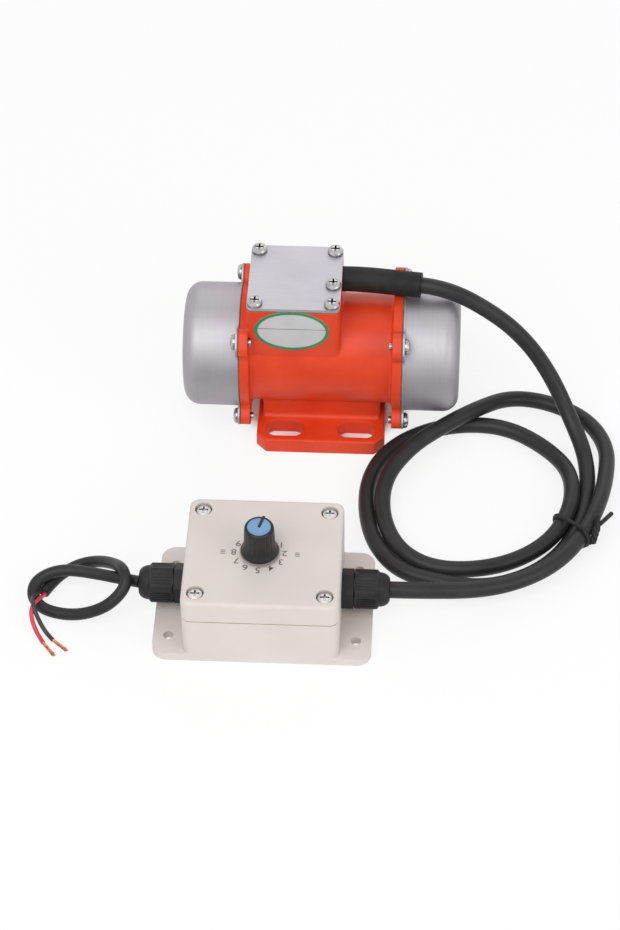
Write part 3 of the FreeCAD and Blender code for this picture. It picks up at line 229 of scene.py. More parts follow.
def makeFloor(setup):
    shader = Shader("floor")
    shader.finish(Base_Color=(setup["white"],) * 3, Roughness=setup["rough"])
    glow = shader.node("ShaderNodeEmission", {}, {"Color": (1, 1, 1)})
    away = shader.node("ShaderNodeVectorMath", {"operation": "LENGTH"}, {0: shader.place(setup["stretch"])},
                       output=1)
    inOpen, underMotor = setup["shadow"]
    shaded = underMotor - (underMotor - inOpen) * shader.ramp(away, *setup["reach"])
    share = shader.lookRays() * (1 - shaded)
    surface = Field(shader, shader.surface.outputs[0])
    shader.blend(share, surface, glow, shader.tree.nodes["Material Output"].inputs["Surface"])
    mesh = bpy.data.meshes.new("floor")
    half = setup["half"]
    corners = [(-half, -half, 0), (half, -half, 0), (half, half, 0), (-half, half, 0)]
    mesh.from_pydata(corners, [], [(0, 1, 2, 3)])
    floor = bpy.data.objects.new("floor", mesh)
    floor.location = (0, 0, -setup["drop"])
    mesh.materials.append(shader.material)
    bpy.context.scene.collection.objects.link(floor)


makeStudio(studio)
makeFloor(floorSetup)
print("studio set")


# finishes: noise scales are per metre, a relief is its strength and its height in metres

enamel = {
    "colours": ((0.7, 0.05, 0.013), (0.78, 0.068, 0.019)),
    "rough": 0.3,
    "gloss": 0.3,
    "cloudScale": 70,
    "flowScale": 160,                        # long waves of the paint, under its fine peel
    "peelScale": 1500,
    "relief": (0.22, 0.0004),
}


def enamelPaint(look):
    shader = Shader("orangeEnamel")
    cloud = shader.noise(look["cloudScale"], 4.0)
    peel = shader.noise(look["peelScale"], 2.0)
    flow = shader.noise(look["flowScale"], 2.0)
    return shader.finish(Base_Color=shader.clouded(cloud, look["colours"], (0.35, 0.68)),
                         Roughness=cloud * 0.16 + look["rough"], Specular_IOR_Level=look["gloss"],
                         Normal=shader.bump(peel * 0.35 + flow, *look["relief"]))


coverSteel = {
    "colours": ((0.38, 0.365, 0.39), (0.44, 0.425, 0.45)),
    "rough": 0.47,
    "metal": 0.92,
    "cloudScale": 45,
    "streakScale": 22,
    "streakStretch": (70, 3, 3),
    "grainScale": 2200,
    "relief": (0.12, 0.0002),
}


def drawnSteel(look):
    shader = Shader("drawnSteel")
    cloud = shader.noise(look["cloudScale"], 4.0)
    streak = shader.noise(look["streakScale"], 4.0, look["streakStretch"])
    grain = shader.noise(look["grainScale"], 2.0)
    mixed = streak * 0.5 + cloud * 0.5
    return shader.finish(Base_Color=shader.clouded(mixed, look["colours"]), Metallic=look["metal"],
                         Roughness=mixed * 0.14 + look["rough"],
                         Normal=shader.bump(grain + streak * 0.4, *look["relief"]))


namePlate = {
    "colours": ((0.42, 0.41, 0.44), (0.5, 0.49, 0.52)),
    "rough": 0.34,
    "metal": 0.75,
    "lineScale": 40,
    "lineStretch": (3, 90, 3),
    "cloudScale": 55,
    "relief": (0.12, 0.0002),
}


def etchedPlate(look):
    shader = Shader("etchedPlate")
    lines = shader.noise(look["lineScale"], 5.0, look["lineStretch"])
    cloud = shader.noise(look["cloudScale"])
    colour = shader.clouded(lines * 0.6 + cloud * 0.4, look["colours"], (0.35, 0.65))
    return shader.finish(Base_Color=colour, Metallic=look["metal"], Roughness=lines * 0.2 + look["rough"],
                         Normal=shader.bump(lines, *look["relief"]))


caseMoulding = {
    "colours": ((0.68, 0.615, 0.585), (0.73, 0.665, 0.635)),
    "rough": 0.4,
    "cloudScale": 38,
    "textureScale": 2600,
    "relief": (0.1, 0.0002),
}


def mouldedCase(look):
    shader = Shader("mouldedCase")
    texture = shader.noise(look["textureScale"])
    cloud = shader.noise(look["cloudScale"], 4.0)
    return shader.finish(Base_Color=shader.clouded(cloud, look["colours"]),
                         Roughness=texture * 0.16 + look["rough"],
                         Normal=shader.bump(texture, *look["relief"]))


cableSkin = {
    "colours": ((0.017, 0.017, 0.018), (0.032, 0.031, 0.031)),
    "rough": 0.28,
    "gloss": 0.24,
    "cloudScale": 60,
    "skinScale": 900,
    "relief": (0.1, 0.0003),
}


def jacket(look):
    shader = Shader("cableJacket")
    skin = shader.noise(look["skinScale"])
    cloud = shader.noise(look["cloudScale"])
    return shader.finish(Base_Color=shader.clouded(cloud, look["colours"]),
                         Roughness=cloud * 0.2 + look["rough"], Specular_IOR_Level=look["gloss"],
                         Normal=shader.bump(skin, *look["relief"]))


blackParts = {
    "cloudScale": 120,
    "textureScale": 2400,
    "relief": (0.16, 0.0002),
}


def blackNylon(name, low, high, rough, gloss=0.16):
    shader = Shader(name)
    texture = shader.noise(blackParts["textureScale"])
    cloud = shader.noise(blackParts["cloudScale"])
    return shader.finish(Base_Color=shader.clouded(cloud, (low, high)), Roughness=rough + texture * 0.14,
                         Specular_IOR_Level=gloss, Normal=shader.bump(texture, *blackParts["relief"]))


plating = {
    "cloudScale": 420,
    "scratchScale": 60,
    "scratchStretch": (20, 3, 60),
    "relief": (0.08, 0.0002),
    "paintedCreviceShade": (0.03, 0.03, 0.032),          # painted shade: the colour that the gaps round a screw's head darken to
    "paintedShadeSpan": (0.45, 0.95),
    "samples": 8,
}


def plated(name, low, high, rough, reach=0.0):           # reach: how far painted shade from a gap spreads over the metal, in mm
    shader = Shader(name)
    cloud = shader.noise(plating["cloudScale"])
    scratch = shader.noise(plating["scratchScale"], 4.0, plating["scratchStretch"])
    colour = shader.clouded(cloud, (low, high), (0.35, 0.65))
    if reach:
        # ambient occlusion paints shade into the colour of gaps and recesses, darker where they close in
        free = shader.node("ShaderNodeAmbientOcclusion", {"samples": plating["samples"]},
                           {"Distance": reach * mm}, output=1)
        colour = shader.clouded(free, (plating["paintedCreviceShade"], colour), plating["paintedShadeSpan"])
    return shader.finish(Base_Color=colour, Metallic=1.0, Roughness=rough + cloud * 0.1,
                         Normal=shader.bump(scratch, *plating["relief"]))


smallParts = {
    "cloudScale": 140,
    "textureScale": 1500,
    "relief": (0.08, 0.0002),
}


def plasticSkin(name, low, high, rough):
    shader = Shader(name)
    texture = shader.noise(smallParts["textureScale"])
    cloud = shader.noise(smallParts["cloudScale"])
    return shader.finish(Base_Color=shader.clouded(cloud, (low, high)), Roughness=rough + texture * 0.1,
                         Normal=shader.bump(texture, *smallParts["relief"]))


sheetStack = {
    "colours": ((0.1, 0.1, 0.11), (0.26, 0.26, 0.28)),
    "rough": 0.4,
    "metal": 0.9,
    "bands": {"Scale": 320.0, "Distortion": 0.4},
    "relief": (0.3, 0.0002),
}


def laminations(look):
    shader = Shader("laminations")
    sheets = shader.node("ShaderNodeTexWave", {"bands_direction": "X"},
                         {"Vector": shader.place(), **look["bands"]})
    return shader.finish(Base_Color=shader.tint(sheets, *look["colours"]), Metallic=look["metal"],
                         Roughness=sheets * 0.15 + look["rough"], Normal=shader.bump(sheets, *look["relief"]))


windingWire = {
    "colours": ((0.3, 0.09, 0.03), (0.68, 0.27, 0.1)),
    "rough": 0.28,
    "metal": 0.7,
    "bands": {"Scale": 420.0, "Distortion": 1.2},
    "relief": (0.6, 0.0004),
}


def enamelWire(look):
    shader = Shader("enamelWire")
    turns = shader.node("ShaderNodeTexWave", {"bands_direction": "Z"},
                        {"Vector": shader.place(), **look["bands"]})
    return shader.finish(Base_Color=shader.tint(turns, *look["colours"]), Metallic=look["metal"],
                         Roughness=turns * 0.15 + look["rough"], Normal=shader.bump(turns, *look["relief"]))


circuitBoard = {
    "colours": ((0.05, 0.28, 0.1), (0.015, 0.12, 0.04)),     # tracks and the board between them
    "rough": 0.3,
    "cellScale": 260.0,
    "trackEdge": (0.05, 0.09),
    "relief": (0.2, 0.0001),
}


def solderMask(look):
    shader = Shader("solderMask")
    cells = shader.node("ShaderNodeTexVoronoi", {"feature": "DISTANCE_TO_EDGE", "distance": "MANHATTAN"},
                        {"Vector": shader.place(), "Scale": look["cellScale"]})
    between = shader.ramp(cells, *look["trackEdge"])
    return shader.finish(Base_Color=shader.tint(between, *look["colours"]),
                         Roughness=between * 0.1 + look["rough"],
                         Normal=shader.bump(between, *look["relief"]))


# one finish for each material slot of the record

finishes = {
    "housing_paint": enamelPaint(enamel),
    "satin_steel": drawnSteel(coverSteel),
    "satin_aluminium": etchedPlate(namePlate),
    "cast_aluminium": plated("castAluminium", (0.42, 0.42, 0.43), (0.56, 0.56, 0.57), 0.42),
    "machined_steel": plated("machinedSteel", (0.4, 0.4, 0.41), (0.52, 0.52, 0.53), 0.24),
    "lamination_steel": laminations(sheetStack),
    "magnet_dark": plated("magnetPlating", (0.14, 0.14, 0.15), (0.24, 0.24, 0.25), 0.3),
    "chromed_screws": plated("brightPlating", (0.4, 0.39, 0.39), (0.52, 0.51, 0.51), 0.2, 1.6),
    "copper_wire": enamelWire(windingWire),
    "black_rubber": blackNylon("blackRubber", (0.012, 0.012, 0.012), (0.026, 0.026, 0.026), 0.5),
    "cable_jacket": jacket(cableSkin),
    "case_plastic": mouldedCase(caseMoulding),
    "white_plastic": plasticSkin("naturalNylon", (0.6, 0.59, 0.55), (0.7, 0.69, 0.66), 0.4),
    "gland_plastic": blackNylon("glandNylon", (0.016, 0.016, 0.017), (0.032, 0.032, 0.034), 0.4),
    "knob_plastic": blackNylon("knobBlack", (0.009, 0.009, 0.01), (0.019, 0.019, 0.02), 0.26, 0.32),
    "cap_blue": plasticSkin("capBlue", (0.13, 0.27, 0.47), (0.19, 0.36, 0.58), 0.42),
    "board_green": solderMask(circuitBoard),
    "dark_component": plasticSkin("darkComponent", (0.02, 0.02, 0.022), (0.04, 0.04, 0.043), 0.4),
    "terminal_green": plasticSkin("terminalGreen", (0.02, 0.24, 0.09), (0.05, 0.33, 0.14), 0.35),
    "lead_insulation": plasticSkin("leadInsulation", (0.42, 0.03, 0.02), (0.56, 0.05, 0.04), 0.45),
    "tie_plastic": blackNylon("tiePlastic", (0.016, 0.016, 0.016), (0.034, 0.034, 0.034), 0.38),
    "wire_red": plasticSkin("wireRed", (0.58, 0.03, 0.06), (0.72, 0.06, 0.1), 0.36),
    "wire_black": plasticSkin("wireBlack", (0.018, 0.018, 0.018), (0.035, 0.035, 0.035), 0.36),
}
sheetGasket = plasticSkin("sheetGasket", (0.11, 0.1, 0.1), (0.2, 0.19, 0.18), 0.6)
paleZinc = plated("paleZinc", (0.56, 0.54, 0.53), (0.66, 0.64, 0.62), 0.34, 0.6)
nodeFinish = {                               # nodes that look different from the rest of their slot
    "cover_gasket_left": sheetGasket,
    "cover_gasket_right": sheetGasket,
    "terminal_gasket": sheetGasket,
    "lid_screws": paleZinc,
}
slotOf = {row["node"]: row["material_slot"] for row in frame["record"]["subparts"]}
for nodeName, solid in frame["nodes"].items():
    solid.data.materials.clear()
    solid.data.materials.append(nodeFinish.get(nodeName) or finishes[slotOf[nodeName]])
print("finishes made:", len(finishes))


# helpers for new pieces

def addPiece(name, mesh, slotName, body=fixedBody, material=None, smooth=True):
    piece = bpy.data.objects.new(name, mesh)
    bpy.context.scene.collection.objects.link(piece)
    if hasattr(mesh, "polygons") and smooth:
        mesh.polygons.foreach_set("use_smooth", [True] * len(mesh.polygons))
    piece.data.materials.append(material or finishes[slotName])
    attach(piece, body)
    return piece


def inMetres(point):
    return tuple(c * mm for c in point)


def roundCurve(name, thickness, smoothness, caps=True):
    data = bpy.data.curves.new(name, "CURVE")
    data.dimensions = "3D"
    data.bevel_depth = thickness / 2 * mm
    data.bevel_resolution = smoothness
    data.use_fill_caps = caps
    return data


def addLine(data, points, closed=False):
    line = data.splines.new("NURBS")
    line.points.add(len(points) - 1)
    for knot, point in zip(line.points, points):
        knot.co = (*inMetres(point), 1)
    line.order_u = 3
    line.use_cyclic_u = closed
    line.use_endpoint_u = not closed


def sideAndLift(ahead):                      # two directions square to one, the first of them level
    side = ahead.cross(Vector((0, 0, 1))).normalized()
    return side, side.cross(ahead)


def cordCurve(name, cable, slotName):
    data = roundCurve(name, cable["diameter"], 6)
    data.resolution_u = 10
    addLine(data, cable["points"])
    return addPiece(name, data, slotName)


# output cable: from the rubber boot, two tied loops, back into the controller's gland

outputCable = {
    "diameter": 7.0,
    "length": 0.847,
    "points": [
        (42.0, 5.0, 66.8), (53.9, 3.4, 67.0), (76.1, -0.1, 54.4), (89.8, -2.9, 40.7), (100.0, -7.3, 25.5),
        (108.1, -17.0, 12.1), (115.0, -32.5, 5.0), (116.1, -51.3, 3.8), (112.9, -71.6, 3.5),
        (104.4, -89.9, 3.5), (90.6, -103.0, 3.5), (72.3, -110.2, 3.5), (53.2, -107.8, 3.5),
        (35.9, -101.9, 3.5), (25.2, -86.7, 3.5), (21.1, -67.8, 3.5), (21.8, -48.7, 3.6), (30.0, -31.9, 3.9),
        (45.3, -20.4, 4.0), (63.6, -14.8, 3.5), (81.8, -17.0, 3.9), (97.8, -28.1, 4.0), (108.5, -43.5, 5.4),
        (109.1, -63.9, 7.4), (101.7, -82.2, 6.0), (87.4, -93.9, 4.1), (69.2, -100.2, 3.5),
        (49.1, -100.2, 3.7), (34.9, -90.8, 5.1), (28.0, -72.4, 5.6), (28.6, -53.6, 8.0), (38.8, -37.9, 11.2),
        (52.6, -25.0, 11.6),
        (67.5, -12.5, 10.6), (82.0, -0.8, 6.7), (99.6, -0.6, 4.2), (116.6, -10.4, 3.7), (124.6, -27.4, 4.5),
        (123.7, -46.8, 6.6), (120.1, -65.4, 9.0), (113.6, -83.0, 10.0), (103.5, -98.9, 9.9),
        (88.7, -110.2, 9.8), (69.8, -117.3, 10.2), (42.9, -122.0, 14.3), (33.2, -122.0, 14.3),
    ],
}

# input cable: out of the other gland, over itself and down to its two bare wires

inputCable = {
    "diameter": 5.0,
    "length": 0.162,
    "points": [
        (-69.8, -122.0, 14.3), (-78.7, -119.7, 13.6), (-87.1, -115.6, 10.9), (-95.5, -113.0, 9.6),
        (-102.7, -112.0, 8.8), (-108.8, -113.3, 7.8), (-113.9, -116.7, 6.3), (-115.0, -121.6, 4.3),
        (-112.4, -125.9, 2.9), (-107.7, -129.4, 2.7), (-98.6, -131.8, 3.3), (-89.7, -132.9, 6.3),
        (-80.8, -132.3, 11.5), (-74.2, -127.1, 17.7), (-76.0, -120.7, 19.8), (-79.8, -113.3, 14.8),
        (-87.4, -105.8, 8.2), (-95.4, -103.4, 4.0), (-102.3, -106.7, 2.6), (-107.2, -112.5, 2.6),
        (-110.6, -119.4, 2.6),
    ],
}
redWire = {
    "diameter": 1.8,
    "length": 0.031,
    "points": [
        (-109.8, -120.1, 2.7), (-111.6, -125.3, 5.3), (-113.3, -131.4, 8.4), (-113.6, -135.4, 7.4),
        (-112.3, -138.3, 3.4), (-110.4, -141.2, 1.2), (-107.8, -145.2, 1.0),
    ],
}
blackWire = {
    "diameter": 1.8,
    "length": 0.031,
    "points": [
        (-111.2, -119.6, 3.6), (-114.0, -125.0, 7.0), (-113.4, -130.2, 9.4), (-111.9, -134.4, 7.6),
        (-109.4, -137.6, 3.4), (-106.8, -140.5, 1.2), (-104.0, -143.5, 1.0),
    ],
}


def declareCord(cable):
    inMetres(cable["points"][0])


outputPiece = cordCurve("outputCable", outputCable, "cable_jacket")
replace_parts(outputPiece, "output_cable_upper", "output_cable_coil", "output_cable_lower")
inputPiece = cordCurve("inputCable", inputCable, "cable_jacket")
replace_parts(inputPiece, "input_cable")
redPiece = cordCurve("redWire", redWire, "wire_red")
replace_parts(redPiece, "red_wire")
blackPiece = cordCurve("blackWire", blackWire, "wire_black")
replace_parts(blackPiece, "black_wire")


# plastic-coated tie round the bundle, its two ends twisted together and splayed

twistTie = {
    "band": [(101.1, -72.1, 6.5), (102.0, -73.2, 3.3), (104.1, -75.5, 1.7), (106.2, -78.0, 0.95),
             (108.4, -80.5, 0.95), (110.7, -83.0, 0.95), (112.2, -84.7, 2.7), (113.7, -86.4, 5.5),
             (115.1, -88.0, 8.3), (115.0, -87.9, 11.8), (113.2, -85.9, 14.1), (110.9, -83.3, 14.0),
             (108.7, -80.7, 13.0), (106.4, -78.1, 12.1), (104.1, -75.6, 11.1), (102.0, -73.2, 9.7)],
    "bandThickness": 1.8,
    "knot": (116.6, -88.6, 9.6),
    "split": (118.4, -82.4, 11.6),
    "tips": [(125.0, -72.8, 11.2), (119.2, -77.2, 13.8)],
    "wireThickness": 1.9,
    "turns": 1.5,
    "turnSteps": 8,
    "winding": 0.46,                         # radius of the twist over the wire's thickness
    "bend": (0.45, 0.5),                     # how far along a splayed end rises, and by how much
}


def tieLoop(tie):
    data = roundCurve("tieBand", tie["bandThickness"], 4, caps=False)
    addLine(data, tie["band"], closed=True)
    return addPiece("tieBand", data, "tie_plastic")


def tieTwist(tie):                           # one spline for each end, wound round the other up to the split
    data = roundCurve("tieEnds", tie["wireThickness"], 4)
    knot = Vector(tie["knot"])
    split = Vector(tie["split"])
    side, lift = sideAndLift((split - knot).normalized())
    share, rise = tie["bend"]
    for i, tip in enumerate(tie["tips"]):
        points = []
        for j in range(tie["turnSteps"] + 1):
            turn = 2 * math.pi * tie["turns"] * j / tie["turnSteps"] + math.pi * i
            around = side * math.cos(turn) + lift * math.sin(turn)
            points.append(knot + (split - knot) * j / tie["turnSteps"]
                          + around * tie["wireThickness"] * tie["winding"])
        points += [split.lerp(Vector(tip), share) + Vector((0, 0, rise)), Vector(tip)]
        addLine(data, points)
    return addPiece("tieEnds", data, "tie_plastic")


tieBand = tieLoop(twistTie)
tieEnds = tieTwist(twistTie)
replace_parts(tieBand, "twist_tie")


# bare copper at the wires' ends: fine strands laid in a slow twist

strands = {
    "count": 9,                              # one in the middle, the others round it
    "thickness": 0.4,
    "bundle": 0.56,                          # radius of the ring of strands
    "length": 8.5,
    "shorter": 0.05,                         # step between the strands' lengths, as a share
    "twist": 1.1,                            # turns over the length
    "fray": 0.35,                            # how far the loosest strand stands off at its end, as a share
    "flatness": 0.9,                         # height of the bundle over its width
    "steps": 8,
    "colours": ((0.5, 0.17, 0.09), (0.7, 0.3, 0.18)),
    "starts": [((-107.8, -145.2, 1.0), (0.62, -0.78, 0.0)), ((-104.0, -143.5, 1.0), (0.76, -0.65, 0.0))],
}


def copperStrands(setup):
    data = roundCurve("copperStrands", setup["thickness"], 3)
    for start, way in setup["starts"]:
        ahead = Vector(way).normalized()
        side, lift = sideAndLift(ahead)
        for i in range(setup["count"]):
            ring = 0.0 if i == 0 else setup["bundle"]
            first = 2 * math.pi * i / (setup["count"] - 1)
            reach = setup["length"] * (1 - setup["shorter"] * ((i * 5) % 4))
            loose = setup["fray"] * ((i * 3) % 5) / 4
            points = []
            for j in range(setup["steps"] + 1):
                share = j / setup["steps"]
                turn = first + 2 * math.pi * setup["twist"] * share
                spot = Vector(start) + ahead * reach * share
                around = side * math.cos(turn) + lift * math.sin(turn) * setup["flatness"]
                spot += around * ring * (1 + loose * share * share)
                spot.z = max(spot.z, setup["thickness"] / 2)
                points.append(spot)
            addLine(data, points)
    return addPiece("copperStrands", data, "copper_wire", material=strandCopper(setup["colours"]))


def strandCopper(colours):
    shader = Shader("strandCopper")
    cloud = shader.noise(700)
    colour = shader.clouded(cloud, colours, (0.35, 0.65))
    return shader.finish(Base_Color=colour, Metallic=0.85, Roughness=cloud * 0.15 + 0.25,
                         Normal=shader.bump(cloud, 0.1, 0.0001))


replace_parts(copperStrands(strands), "wire_strands")
declareCord(outputCable)
declareCord(inputCable)
declareCord(redWire)
declareCord(blackWire)
print("cables laid")


# oval label on the front wall of the terminal box, with one thin rule across it

ovalLabel = {
    "centre": (-12.15, 61.5),                # x and z
    "size": (31.8, 22.0),
    "border": 1.45,
    "wall": -20.0,
    "thickness": 0.12,
    "sunk": 0.05,                            # how far its back stands in the wall
    "rim": 0.06,                             # how far the border stands over the field
    "ruleHeight": 1.1,
    "ruleWidth": 0.22,
    "ruleRelief": 0.02,
    "segments": 96,
    "fieldColours": ((0.52, 0.53, 0.54), (0.59, 0.6, 0.61)),
    "borderColours": ((0.016, 0.2, 0.085), (0.03, 0.27, 0.12)),
}


def joinLoops(mesh, loops):                  # faces between loops of points, the last joined to the first
    for i, loop in enumerate(loops):
        nextLoop = loops[(i + 1) % len(loops)]
        for j in range(len(loop)):
            k = (j + 1) % len(loop)
            mesh.faces.new((loop[j], nextLoop[j], nextLoop[k], loop[k]))


def ellipseRing(mesh, label, outer, inner, back, front):
    # a flat elliptical plate (inner is None) or ring that faces the front, with its side walls
    count = label["segments"]
    x, z = label["centre"]

    def loop(radii, y):
        turns = [2 * math.pi * i / count for i in range(count)]
        return [mesh.verts.new(((x + radii[0] * math.cos(a)) * mm, y * mm, (z + radii[1] * math.sin(a)) * mm))
                for a in turns]
    outerBack = loop(outer, back)
    outerFront = loop(outer, front)
    if inner is None:
        mesh.faces.new(outerFront)
        mesh.faces.new(list(reversed(outerBack)))
        for i in range(count):
            j = (i + 1) % count
            mesh.faces.new((outerBack[i], outerBack[j], outerFront[j], outerFront[i]))
    else:
        joinLoops(mesh, [outerBack, outerFront, loop(inner, front), loop(inner, back)])


def meshPiece(name, mesh, slotName, body=fixedBody, material=None, smooth=False):
    bmesh.ops.recalc_face_normals(mesh, faces=mesh.faces)
    data = bpy.data.meshes.new(name)
    mesh.to_mesh(data)
    mesh.free()
    return addPiece(name, data, slotName, body, material, smooth)


def boxInto(mesh, low, high):
    made = bmesh.ops.create_cube(mesh, size=1.0)
    for vert in made["verts"]:
        vert.co = Vector(((low[i] + high[i]) / 2 + vert.co[i] * (high[i] - low[i])) * mm for i in range(3))


def labelPrint(name, low, high, rough):
    shader = Shader(name)
    cloud = shader.noise(90)
    return shader.finish(Base_Color=shader.clouded(cloud, (low, high)), Roughness=rough + cloud * 0.12,
                         Normal=shader.bump(shader.noise(500, 2.0), 0.06, 0.0002))


def makeLabel(label):
    outer = (label["size"][0] / 2, label["size"][1] / 2)
    inner = (outer[0] - label["border"], outer[1] - label["border"])
    face = label["wall"] - label["thickness"]
    field = bmesh.new()
    ellipseRing(field, label, outer, None, label["wall"] + label["sunk"], face)
    meshPiece("labelField", field, "white_plastic",
              material=labelPrint("labelField", *label["fieldColours"], 0.35))
    ring = bmesh.new()
    ellipseRing(ring, label, outer, inner, face, face - label["rim"])
    meshPiece("labelBorder", ring, "terminal_green",
              material=labelPrint("labelBorder", *label["borderColours"], 0.32))
    reach = inner[0] * math.sqrt(1 - (label["ruleHeight"] / inner[1]) ** 2)
    level = label["centre"][1] + label["ruleHeight"]
    rule = bmesh.new()
    boxInto(rule, (label["centre"][0] - reach, face - label["ruleRelief"], level - label["ruleWidth"] / 2),
            (label["centre"][0] + reach, face, level + label["ruleWidth"] / 2))
    meshPiece("labelRule", rule, "dark_component")


makeLabel(ovalLabel)


# dial printing on the controller's lid

dial = {
    "centre": (-19.6, -122.8),
    "lidTop": 35.0,
    "arcCentre": (-19.9, -122.5),
    "arcRadii": (10.3, 9.2),
    "count": 9,                              # numbers from 1, the middle one at the front
    "step": 30.5,                            # degrees between them
    "height": 4.2,
    "stretch": 1.14,                         # width of a number over the font's own
    "weight": 0.02,
    "ink": 0.03,                             # height of the print over the lid
    "inkColours": ((0.1, 0.085, 0.075), (0.17, 0.15, 0.135)),
    "markPlaces": [(-34.7, -122.4), (-4.4, -122.8)],
    "markSize": (2.0, 0.36, 0.86),           # length, width and pitch of three short lines
}


def inkFinish(setup):
    shader = Shader("dialInk")
    cloud = shader.noise(600)
    return shader.finish(Base_Color=shader.clouded(cloud, setup["inkColours"]), Roughness=cloud * 0.1 + 0.45)


def makeDial(setup):
    ink = inkFinish(setup)
    middle = (setup["count"] + 1) / 2
    for number in range(1, setup["count"] + 1):
        angle = math.radians((middle - number) * setup["step"])
        data = bpy.data.curves.new("digit", "FONT")
        data.body = str(number)
        data.size = setup["height"] * mm
        data.align_x = "CENTER"
        data.align_y = "CENTER"
        data.extrude = setup["ink"] / 2 * mm
        data.offset = setup["weight"] * mm
        holder = bpy.data.objects.new("digit", data)
        bpy.context.scene.collection.objects.link(holder)
        x = setup["arcCentre"][0] + setup["arcRadii"][0] * math.sin(angle)
        y = setup["arcCentre"][1] - setup["arcRadii"][1] * math.cos(angle)
        place = Matrix.Translation(Vector((x, y, setup["lidTop"] + setup["ink"] / 2)) * mm)
        bpy.context.view_layer.update()
        mesh = bpy.data.meshes.new_from_object(holder.evaluated_get(bpy.context.evaluated_depsgraph_get()))
        widen = Matrix.Diagonal((setup["stretch"], 1, 1, 1))
        mesh.transform(place @ Matrix.Rotation(math.pi, 4, "Z") @ widen)
        bpy.data.objects.remove(holder)
        addPiece("dialNumber" + str(number), mesh, "dark_component", material=ink, smooth=False)
    length, width, pitch = setup["markSize"]
    marks = bmesh.new()
    for x, y in setup["markPlaces"]:
        for i in (-1, 0, 1):
            boxInto(marks, (x - length / 2, y + i * pitch - width / 2, setup["lidTop"]),
                    (x + length / 2, y + i * pitch + width / 2, setup["lidTop"] + setup["ink"]))
    meshPiece("dialMarks", marks, "dark_component", material=ink)


# knob: its pointer, a grey ring that paints the shadow round its foot, and its body, all turning together

pointer = {
    "turn": -16.0,                           # degrees from straight back
    "length": 6.05,
    "behind": 0.4,                           # how far it runs past the knob's middle
    "width": 1.2,
    "capTop": 51.15,
    "height": (-0.25, 0.12),                 # foot and top, measured from the cap's top
    "edge": 0.12,
}


def makePointer(setup, centre):
    bar = bmesh.new()
    half = setup["width"] / 2
    foot, top = (setup["capTop"] + h for h in setup["height"])
    boxInto(bar, (-half, -setup["behind"], foot), (half, setup["length"], top))
    bmesh.ops.bevel(bar, geom=list(bar.edges), offset=setup["edge"] * mm, segments=2, affect="EDGES")
    turn = Matrix.Rotation(math.radians(setup["turn"]), 4, "Z")
    bar.transform(Matrix.Translation(Vector((*centre, 0)) * mm) @ turn)
    meshPiece("knobPointer", bar, "knob_plastic", "speed_knob")


def lathe(mesh, centre, profile, count, flutes=(0, 0.0)):
    # turned form about Z, closed in its section; flutes are shallow grooves in the rows whose share is over 0
    number, depth = flutes
    loops = []
    for i in range(count):
        angle = 2 * math.pi * i / count
        dip = depth * max(0.0, math.cos(number * angle)) ** 3
        loops.append([mesh.verts.new(Vector((centre[0] + (r - dip * share) * math.cos(angle),
                                             centre[1] + (r - dip * share) * math.sin(angle), z)) * mm)
                      for r, z, share in profile])
    joinLoops(mesh, loops)


# thin grey ring just under the knob's skirt: painted shadow round the knob's foot on the lid
knobShadowRing = {
    "radii": (8.1, 6.9),
    "level": 36.5,
    "thickness": 0.38,
    "edge": 0.12,
    "segments": 72,
    "colours": ((0.22, 0.21, 0.2), (0.3, 0.29, 0.28)),
}


def makeSkirtRing(setup, centre):
    outer, inner = setup["radii"]
    low = setup["level"]
    high = low + setup["thickness"]
    edge = setup["edge"]
    ring = bmesh.new()
    lathe(ring, centre, [(outer - edge, low, 0), (outer, low + edge, 0), (outer, high - edge, 0),
                         (outer - edge, high, 0), (inner, high, 0), (inner, low, 0)], setup["segments"])
    meshPiece("paintedKnobShadow", ring, "knob_plastic", "speed_knob",
              material=labelPrint("knobShadowGrey", *setup["colours"], 0.5))


knobShape = {
    "low": 36.9,
    "outside": [                             # radius, height over its foot, share of the flutes' depth
        (7.45, 0.0, 0), (7.68, 0.22, 0), (7.7, 0.5, 0), (7.68, 0.95, 0), (7.5, 1.35, 0), (7.15, 1.9, 0.15),
        (6.82, 2.6, 0.4), (6.55, 3.5, 0.75), (6.4, 4.5, 1), (6.33, 5.6, 1), (6.27, 7.5, 1), (6.2, 9.5, 1),
        (6.13, 11.5, 1), (6.08, 12.6, 0.8), (6.0, 13.2, 0.3), (5.88, 13.62, 0), (5.66, 13.98, 0),
        (5.36, 14.18, 0), (5.0, 14.26, 0), (4.82, 14.2, 0), (4.8, 14.08, 0), (5.04, 14.06, 0),
        (5.04, 13.05, 0), (3.1, 13.0, 0), (0.3, 13.0, 0),
    ],
    "inside": [
        (0.3, 11.05, 0), (3.12, 11.05, 0), (3.12, 5.2, 0), (6.1, 5.0, 0), (6.15, 2.4, 0), (6.9, 0.9, 0),
        (7.1, 0.0, 0),
    ],
    "flutes": (18, 0.2),                     # number and depth
    "segments": 216,
}


def makeKnob(setup, centre):
    body = bmesh.new()
    profile = [(r, setup["low"] + z, share) for r, z, share in setup["outside"] + setup["inside"]]
    lathe(body, centre, profile, setup["segments"], setup["flutes"])
    made = meshPiece("knobBody", body, "knob_plastic", "speed_knob", smooth=True)
    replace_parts(made, "knob")


makeDial(dial)
makeKnob(knobShape, dial["centre"])
makePointer(pointer, dial["centre"])
makeSkirtRing(knobShadowRing, dial["centre"])
print("label and dial printed")
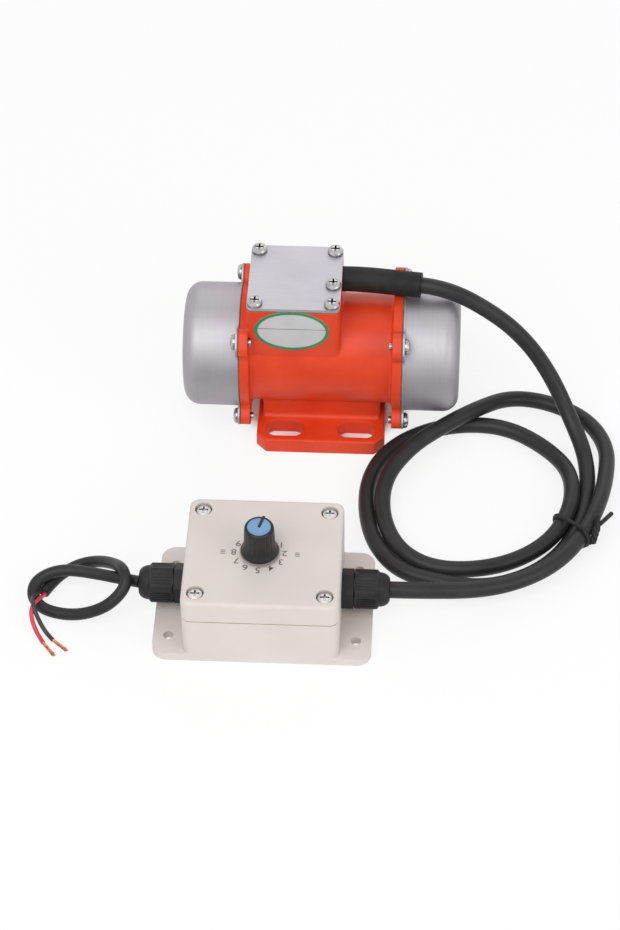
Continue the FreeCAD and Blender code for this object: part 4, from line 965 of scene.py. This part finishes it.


# thin dark strip seen in the groove between lid and base: painted shade of the seam

seamShadeStrip = {
    "x": (-50.1, 13.5),
    "y": (-151.0, -93.0),
    "corner": 4.0,
    "cornerSteps": 8,
    "level": (23.8, 24.2),
    "inset": (0.14, 0.9),                    # front and back of the strip, in from the case's wall
    "colours": ((0.24, 0.15, 0.1), (0.32, 0.22, 0.15)),
}


def roundedLoop(setup, inset):
    corner, steps = setup["corner"], setup["cornerSteps"]
    low, high = ((setup["x"][i] + shift, setup["y"][i] + shift) for i, shift in ((0, corner), (1, -corner)))
    points = []
    for number, (cx, cy) in enumerate((high, (low[0], high[1]), low, (high[0], low[1]))):
        for j in range(steps + 1):
            angle = math.pi / 2 * (number + j / steps)
            points.append((cx + (corner - inset) * math.cos(angle), cy + (corner - inset) * math.sin(angle)))
    return points


def makeSealLine(setup):
    mesh = bmesh.new()
    low, high = setup["level"]
    front, back = setup["inset"]
    loops = [[mesh.verts.new(Vector((x, y, z)) * mm) for x, y in roundedLoop(setup, inset)]
             for inset, z in ((front, low), (front, high), (back, high), (back, low))]
    joinLoops(mesh, loops)
    # its brownish colour paints the shade in the seam's groove
    meshPiece("seamShadeStrip", mesh, "black_rubber",
              material=plasticSkin("seamShadeTan", *setup["colours"], 0.6))


makeSealLine(seamShadeStrip)


# cast housing: the same shape with the soft edges and blends of a painted casting

casting = {
    "voxel": 0.45,
    "relaxing": 0.5,
    "rounds": 4,
}


def softCasting(setup):
    mesh = frame["nodes"]["motor_housing"].data.copy()
    piece = bpy.data.objects.new("castHousing", mesh)
    bpy.context.scene.collection.objects.link(piece)
    remesh = piece.modifiers.new("remesh", "REMESH")
    remesh.mode = "VOXEL"
    remesh.voxel_size = setup["voxel"] * mm
    relax = piece.modifiers.new("relax", "SMOOTH")
    relax.factor = setup["relaxing"]
    relax.iterations = setup["rounds"]
    bpy.context.view_layer.update()
    soft = bpy.data.meshes.new_from_object(piece.evaluated_get(bpy.context.evaluated_depsgraph_get()))
    bpy.data.objects.remove(piece)
    soft.materials.clear()
    made = addPiece("castHousing", soft, "housing_paint")
    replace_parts(made, "motor_housing")


softCasting(casting)
print("housing softened")
